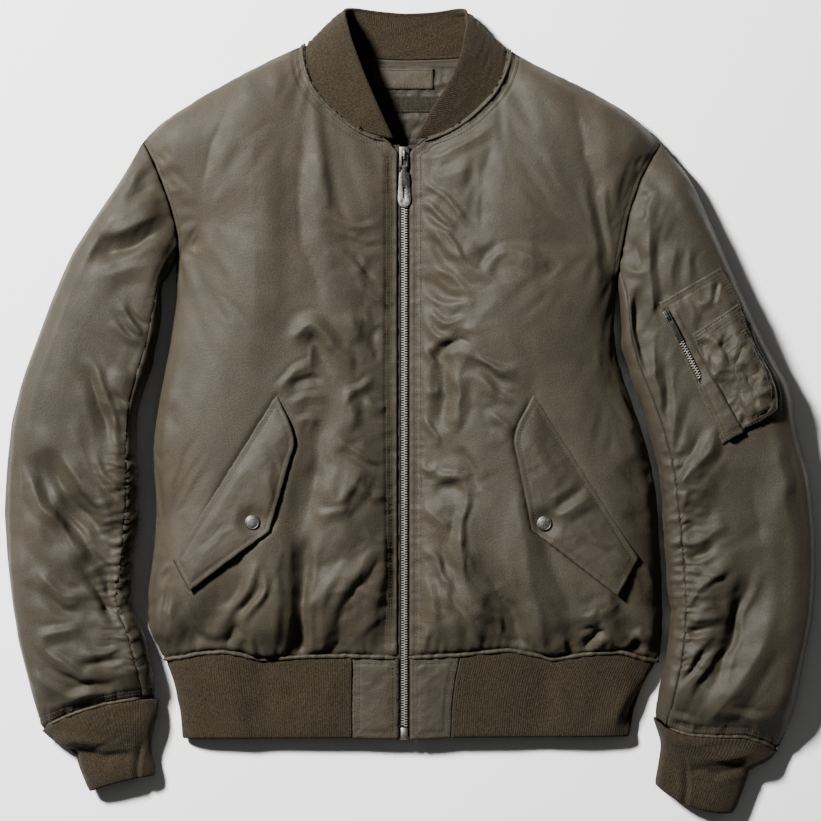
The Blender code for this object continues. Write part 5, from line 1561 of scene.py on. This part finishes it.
# %% Hem patches and pocket flaps
FOLDS["pocket_flap_right"] = [
    (8, 1.6, (-150, -40), (-172, -76), (-196, -118)), (4, -1.4, (-142, -30), (-128, -52), (-122, -84)),
    (5, -1.5, (-176, -104), (-190, -122), (-206, -134)), (4, 1.4, (-140, -60), (-132, -84), (-140, -104)),
]
FOLDS["pocket_flap_left"] = [
    (5, 3.2, (132, -107), (152, -94), (178, -78)), (6, -2.6, (134, -96), (150, -84), (170, -70)),
    (7, 1.4, (114, -20), (126, -50), (144, -72)), (5, -1.4, (160, -120), (178, -132), (200, -138)),
]
FLAP_LIFT = 4.4  # mm that the free edges stand off the front


def lifted_flap(side):
    """A flat sewn edge, free edges that stand off the front, and cloth held down by the press stud."""
    def extra(net):
        """The flap's own form, added to its net."""
        x, y = net[..., 0], net[..., 1]
        sewn_edge = reach(net)[3]
        away, _ = from_outline(net)
        folds = sum(crease(x, y, path, width, height)
                    for width, height, *path in FOLDS["pocket_flap_" + side])
        cap = sum(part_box("snap_" + side), Vector()) / 2 / MM
        free = 1 - np.exp(-(np.hypot(x - cap.x, y - cap.y) / 13) ** 3)
        return (FLAP_LIFT * fade(sewn_edge / 34) + folds * fade(away / 12)) * free - 1.2 * (1 - free)
    return extra


for side in ("right", "left"):
    sewn_on("patch_shell_" + side, "hem_patch_" + side, (2.4, 6.2), 0.5, 0.5, 501, 1.4)
    sewn_on("flap_shell_" + side, "pocket_flap_" + side, (5.5,), 1.2, 0.6, 511, 3.0,
            size=22, edge=2.0, cell=2.1, depth=0.4, extra=lifted_flap(side))


# %% The sleeve pocket, with a slot for its zip
def along(x, y, start, end):
    """Share of the way from start to end, and the distance (mm) to the left of that line."""
    (x0, y0), (x1, y1) = start, end
    length = math.hypot(x1 - x0, y1 - y0)
    share = ((x - x0) * (x1 - x0) + (y - y0) * (y1 - y0)) / length ** 2
    return share, ((x1 - x0) * (y - y0) - (y1 - y0) * (x - x0)) / length


chain_low, chain_high = (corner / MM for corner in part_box("sleeve_zip_chain"))
ZIP_TOP = (chain_low.x + 2.8, chain_high.y - 1.5)
ZIP_END = (chain_high.x - 2.8, chain_low.y + 1.5)
ZIP_COVERED = 0.5  # share of the zip's way from which it lies under a strip of cloth


def pocket_form(net):
    """The zip lies in a slot, and a strip of cloth beside it comes to cover its lower half."""
    x, y = net[..., 0], net[..., 1]
    share, off = along(x, y, ZIP_TOP, ZIP_END)
    over = fade((share - ZIP_COVERED + 0.06) / 0.14)
    strip = fade((off - 2.5 + 6 * over) / 1.6) * fade((9.5 + 5 * share - off) / 1.6)
    strip *= fade((share + 0.1) / 0.08)
    slot = np.exp(-(off / 3.0) ** 4) * (1 - over) * fade((share + 0.15) / 0.1)
    crumples = 1.6 * facets(x, y, 13, 527, -60, 1.6) * fade((off - 15) / 6)
    crumples += crease(x, y, ((296, 128), (292, 112), (288, 100)), 2.5, -2.6)
    crumples += crease(x, y, ((272, 100), (284, 104), (292, 112)), 3, 1.8)
    return (1.2 + 3.8 * over) * strip - 1.0 * slot + crumples


sewn_on("utility_pocket", "sleeve_pocket", (2.4, 6.0), 0.6, 0.5, 521, 1.6,
        extra=pocket_form)


# %% The two pen pockets
def loose_pocket(seed):
    """A gathered top edge, and loose cloth in sharp folds below it."""
    def extra(net):
        """The pocket's own form, added to its net."""
        x, y = net[..., 0], net[..., 1]
        from_top = reach(net)[3]
        away, run = from_outline(net)
        hem = np.exp(-((from_top - 5) / 6) ** 2)
        pleats = 0.9 * np.sin(from_top * 1.9) * hem
        pleats += noise(run, 0 * run, 2.8, seed) * np.exp(-from_top / 9)
        sharp = 3.4 * facets(x, y, 12, seed + 3, -62, 1.7) + 1.5 * facets(x, y, 6.5, seed + 5, 20, 1.3)
        return (pleats + sharp * (1 - hem) + 1.6 * fade(from_top / 30)) * fade(away / 3)
    return extra


for name, node, below, seed, cell in (("pen_pocket_low", "pen_pocket_back", "sleeve_pocket", 531, 1.5),
                                      ("pen_pocket_high", "pen_pocket_front", "pen_pocket_back", 541, 1.4)):
    sewn_on(name, node, (2.0,), 1.2, 0.6, seed, 1.6, cell=cell, extra=loose_pocket(seed + 2))

# %% [markdown]
# ## Lining and labels
#
# Inside the neck, the back's lining shows, with two plain woven labels on it. They are thin and
# nearly flat, so they are the plain net with a fine crumple, kept low enough to stay under the
# collar's edge.

# %% Lining and labels at the back of the neck
LINING_FLOOR = 4.1  # mm; the back's shell lies below it

net = finer(nets["neck_lining"], 1.9, 1.9)
x, y = net[..., 0], net[..., 1]
away, _ = from_outline(net)
lift = 1.5 * crumple(x, y, 17, 551, 8, 1.6) + 0.8 * crumple(x, y, 7, 561, 80, 1.2)
lift += crease(x, y, ((-60, 283), (-20, 281), (40, 284)), 5, 2.0) - 1.6 * np.exp(-((y - 331) / 2.0) ** 2)
net[..., 2] = np.maximum(net[..., 2] + np.clip(lift, -1.2, 2.4) * fade(away / 8), LINING_FLOOR)
cloth("neck_lining_cloth", net, 0.8, "neck_lining", lining)
for node, finish, seed in (("neck_label", label, 571), ("care_label", marked, 581)):
    net = finer(nets[node], 1.6, 1.6)
    x, y = net[..., 0], net[..., 1]
    away, run = from_outline(net)
    bump = 0.5 * crumple(x, y, 15, seed, 10, 1.5) + sewn(away, 1.8, run, seed, 0.5) + rounded(away, 0.6)
    net[..., 2] += 1.0 + np.clip(bump, -0.5, 1.2)
    cloth(node + "_cloth", net, 0.7, node, finish)
    sew(*inset(node + "_cloth", 1.8))

# %% [markdown]
# ## The zips
#
# A metal zip has two rows of teeth that are clamped to the edges of two tapes and mesh in the
# middle, a box that holds their ends, and a slider. The teeth are one mesh: a single tooth, set
# down on one side and on the other by turns, so that they interlock. The sleeve's zip has teeth
# only where no cloth covers it. Stamped and cast parts have no sharp edges, so the solids' own edges
# are rounded.

# %% Metal parts with rounded edges
def softened(node, width, material, body="jacket"):
    """The solid of a metal part with its edges rounded."""
    bm = solid_of(node)
    bmesh.ops.remove_doubles(bm, verts=bm.verts, dist=0.002 * MM)
    bmesh.ops.dissolve_limit(bm, angle_limit=math.radians(2), verts=bm.verts, edges=bm.edges)
    sharp = [edge for edge in bm.edges
             if edge.is_manifold and edge.calc_face_angle() > math.radians(40)]
    bmesh.ops.bevel(bm, geom=sharp, offset=width * MM, segments=2, profile=0.5, affect="EDGES",
                    material=-1, clamp_overlap=True)
    piece = belonging(joined_object(node + "_metal", bm, material), node, body)
    print(f"{piece.name}: {len(piece.data.polygons)} faces")


softened("zip_slider", 0.5, gunmetal)
softened("zip_box", 0.5, silver)
softened("zip_pull", 0.28, pewter, "zip_pull")
softened("sleeve_zip_slider", 0.6, bronze)
softened("sleeve_zip_pull", 0.35, bronze, "sleeve_zip_pull")

# %% Press studs
RING = 0.5  # mm, the radius of the wire-like rim round a stud's cap

for side in ("right", "left"):
    softened("snap_" + side, 0.3, stud)
    low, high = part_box("snap_" + side)
    bm = bmesh.new()
    upright = Matrix.Translation((0.78 * (high.x - low.x) / 2, 0, 0)) @ Matrix.Rotation(math.pi / 2, 4, "X")
    made = bmesh.ops.create_circle(bm, segments=8, radius=RING * MM, matrix=upright)
    bmesh.ops.spin(bm, geom=made["verts"] + bm.edges[:], axis=(0, 0, 1), cent=(0, 0, 0),
                   angle=math.tau, steps=40, use_merge=True)
    bmesh.ops.recalc_face_normals(bm, faces=bm.faces)
    middle = ((low.x + high.x) / 2, (low.y + high.y) / 2, high.z - 0.45 * MM)
    bmesh.ops.translate(bm, verts=bm.verts, vec=middle)
    belonging(joined_object("snap_ring_" + side, bm, stud))

# %% One tooth
def tooth_shape(reach_out, wide, tall):
    """A tooth along y, from its root to a head at the middle, with a rounded back."""
    outline = [(-0.36, -1.0), (0.36, -1.0), (0.36, -0.35), (0.44, -0.1),
               (0.26, 0.12), (-0.26, 0.12), (-0.44, -0.1), (-0.36, -0.35)]
    bm = bmesh.new()
    level = bm.faces.new([bm.verts.new((u * wide, v * reach_out, -0.5 * tall)) for u, v in outline])
    for rise, narrower, shorter in ((0.75, 1.0, 1.0), (0.25, 0.66, 0.9)):
        raised = bmesh.ops.extrude_face_region(bm, geom=[level])["geom"]
        bmesh.ops.delete(bm, geom=[level], context="FACES_ONLY")
        level = next(part for part in raised if isinstance(part, bmesh.types.BMFace))
        bmesh.ops.translate(bm, verts=list(level.verts), vec=(0, 0, rise * tall))
        bmesh.ops.scale(bm, verts=list(level.verts), vec=(narrower, shorter, 1))
    bmesh.ops.holes_fill(bm, edges=bm.edges, sides=len(outline))
    return arrays_of(bm)


# %% Rows of teeth
def teeth(name, node, start, end, pitch, half_width, tall):
    """A closed row of teeth on a chain's solid, from one point (x, y, in mm) to another."""
    bm = solid_of(node)
    tree = BVHTree.FromBMesh(bm)
    bm.free()
    start, end = np.array(start, float), np.array(end, float)
    count = int(np.linalg.norm(end - start) / (pitch / 2))
    spots = start + (end - start) * ((np.arange(count) + 0.5) / count)[:, None]
    hits = [tree.ray_cast(Vector((x * MM, y * MM, 0.2)), DOWN)[0] for x, y in spots]
    place = np.array([hit / MM for hit in hits if hit])
    normals = np.tile((0.0, 0.0, 1.0), (len(place), 1))
    step = 0.999 * lengths_along(place)[-1] / len(place)
    _, turn = along_line(place, normals, step)
    turn = turn[: len(place)]
    turn[1::2, :, :2] *= -1
    place = place[: len(turn)] + (0, 0, 0.35 * tall)
    shape = tooth_shape(half_width, pitch * 0.42, tall)
    belonging(repeated(name, shape, place, turn, nickel, smooth=False))


def lowered(node, by):
    """The chain's solid sunk below the teeth: the two corded edges of the tapes, which the teeth clamp."""
    bm = solid_of(node)
    bmesh.ops.translate(bm, verts=bm.verts, vec=DOWN * by * MM)
    belonging(joined_object(node + "_cords", bm, core, smooth=False), node)


lowered("zip_chain", 1.3)
lowered("sleeve_zip_chain", 0.9)
chain_low, chain_high = (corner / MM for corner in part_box("zip_chain"))
middle = (chain_low.x + chain_high.x) / 2
teeth("zip_teeth", "zip_chain", (middle, chain_low.y + 1), (middle, chain_high.y - 1), 2.4, 3.1, 1.7)
covered = [a + ZIP_COVERED * (b - a) for a, b in zip(ZIP_TOP, ZIP_END)]
teeth("sleeve_zip_teeth", "sleeve_zip_chain", ZIP_TOP, covered, 2.6, 2.4, 1.4)

# %% [markdown]
# ## The thread and the tapes
#
# Every row of stitches was only noted down while its piece was made. Now they all become one mesh.
# The zip's tapes keep their solids and only get their woven finish.

# %% All stitches, and the tapes' finish
places, turns = (np.concatenate(parts) for parts in zip(*rows_sewn))
belonging(repeated("stitches", capsule(2.5, 0.34), places, turns, thread))
for side in ("right", "left"):
    frame["nodes"]["zip_tape_" + side].material_slots[0].material = tape
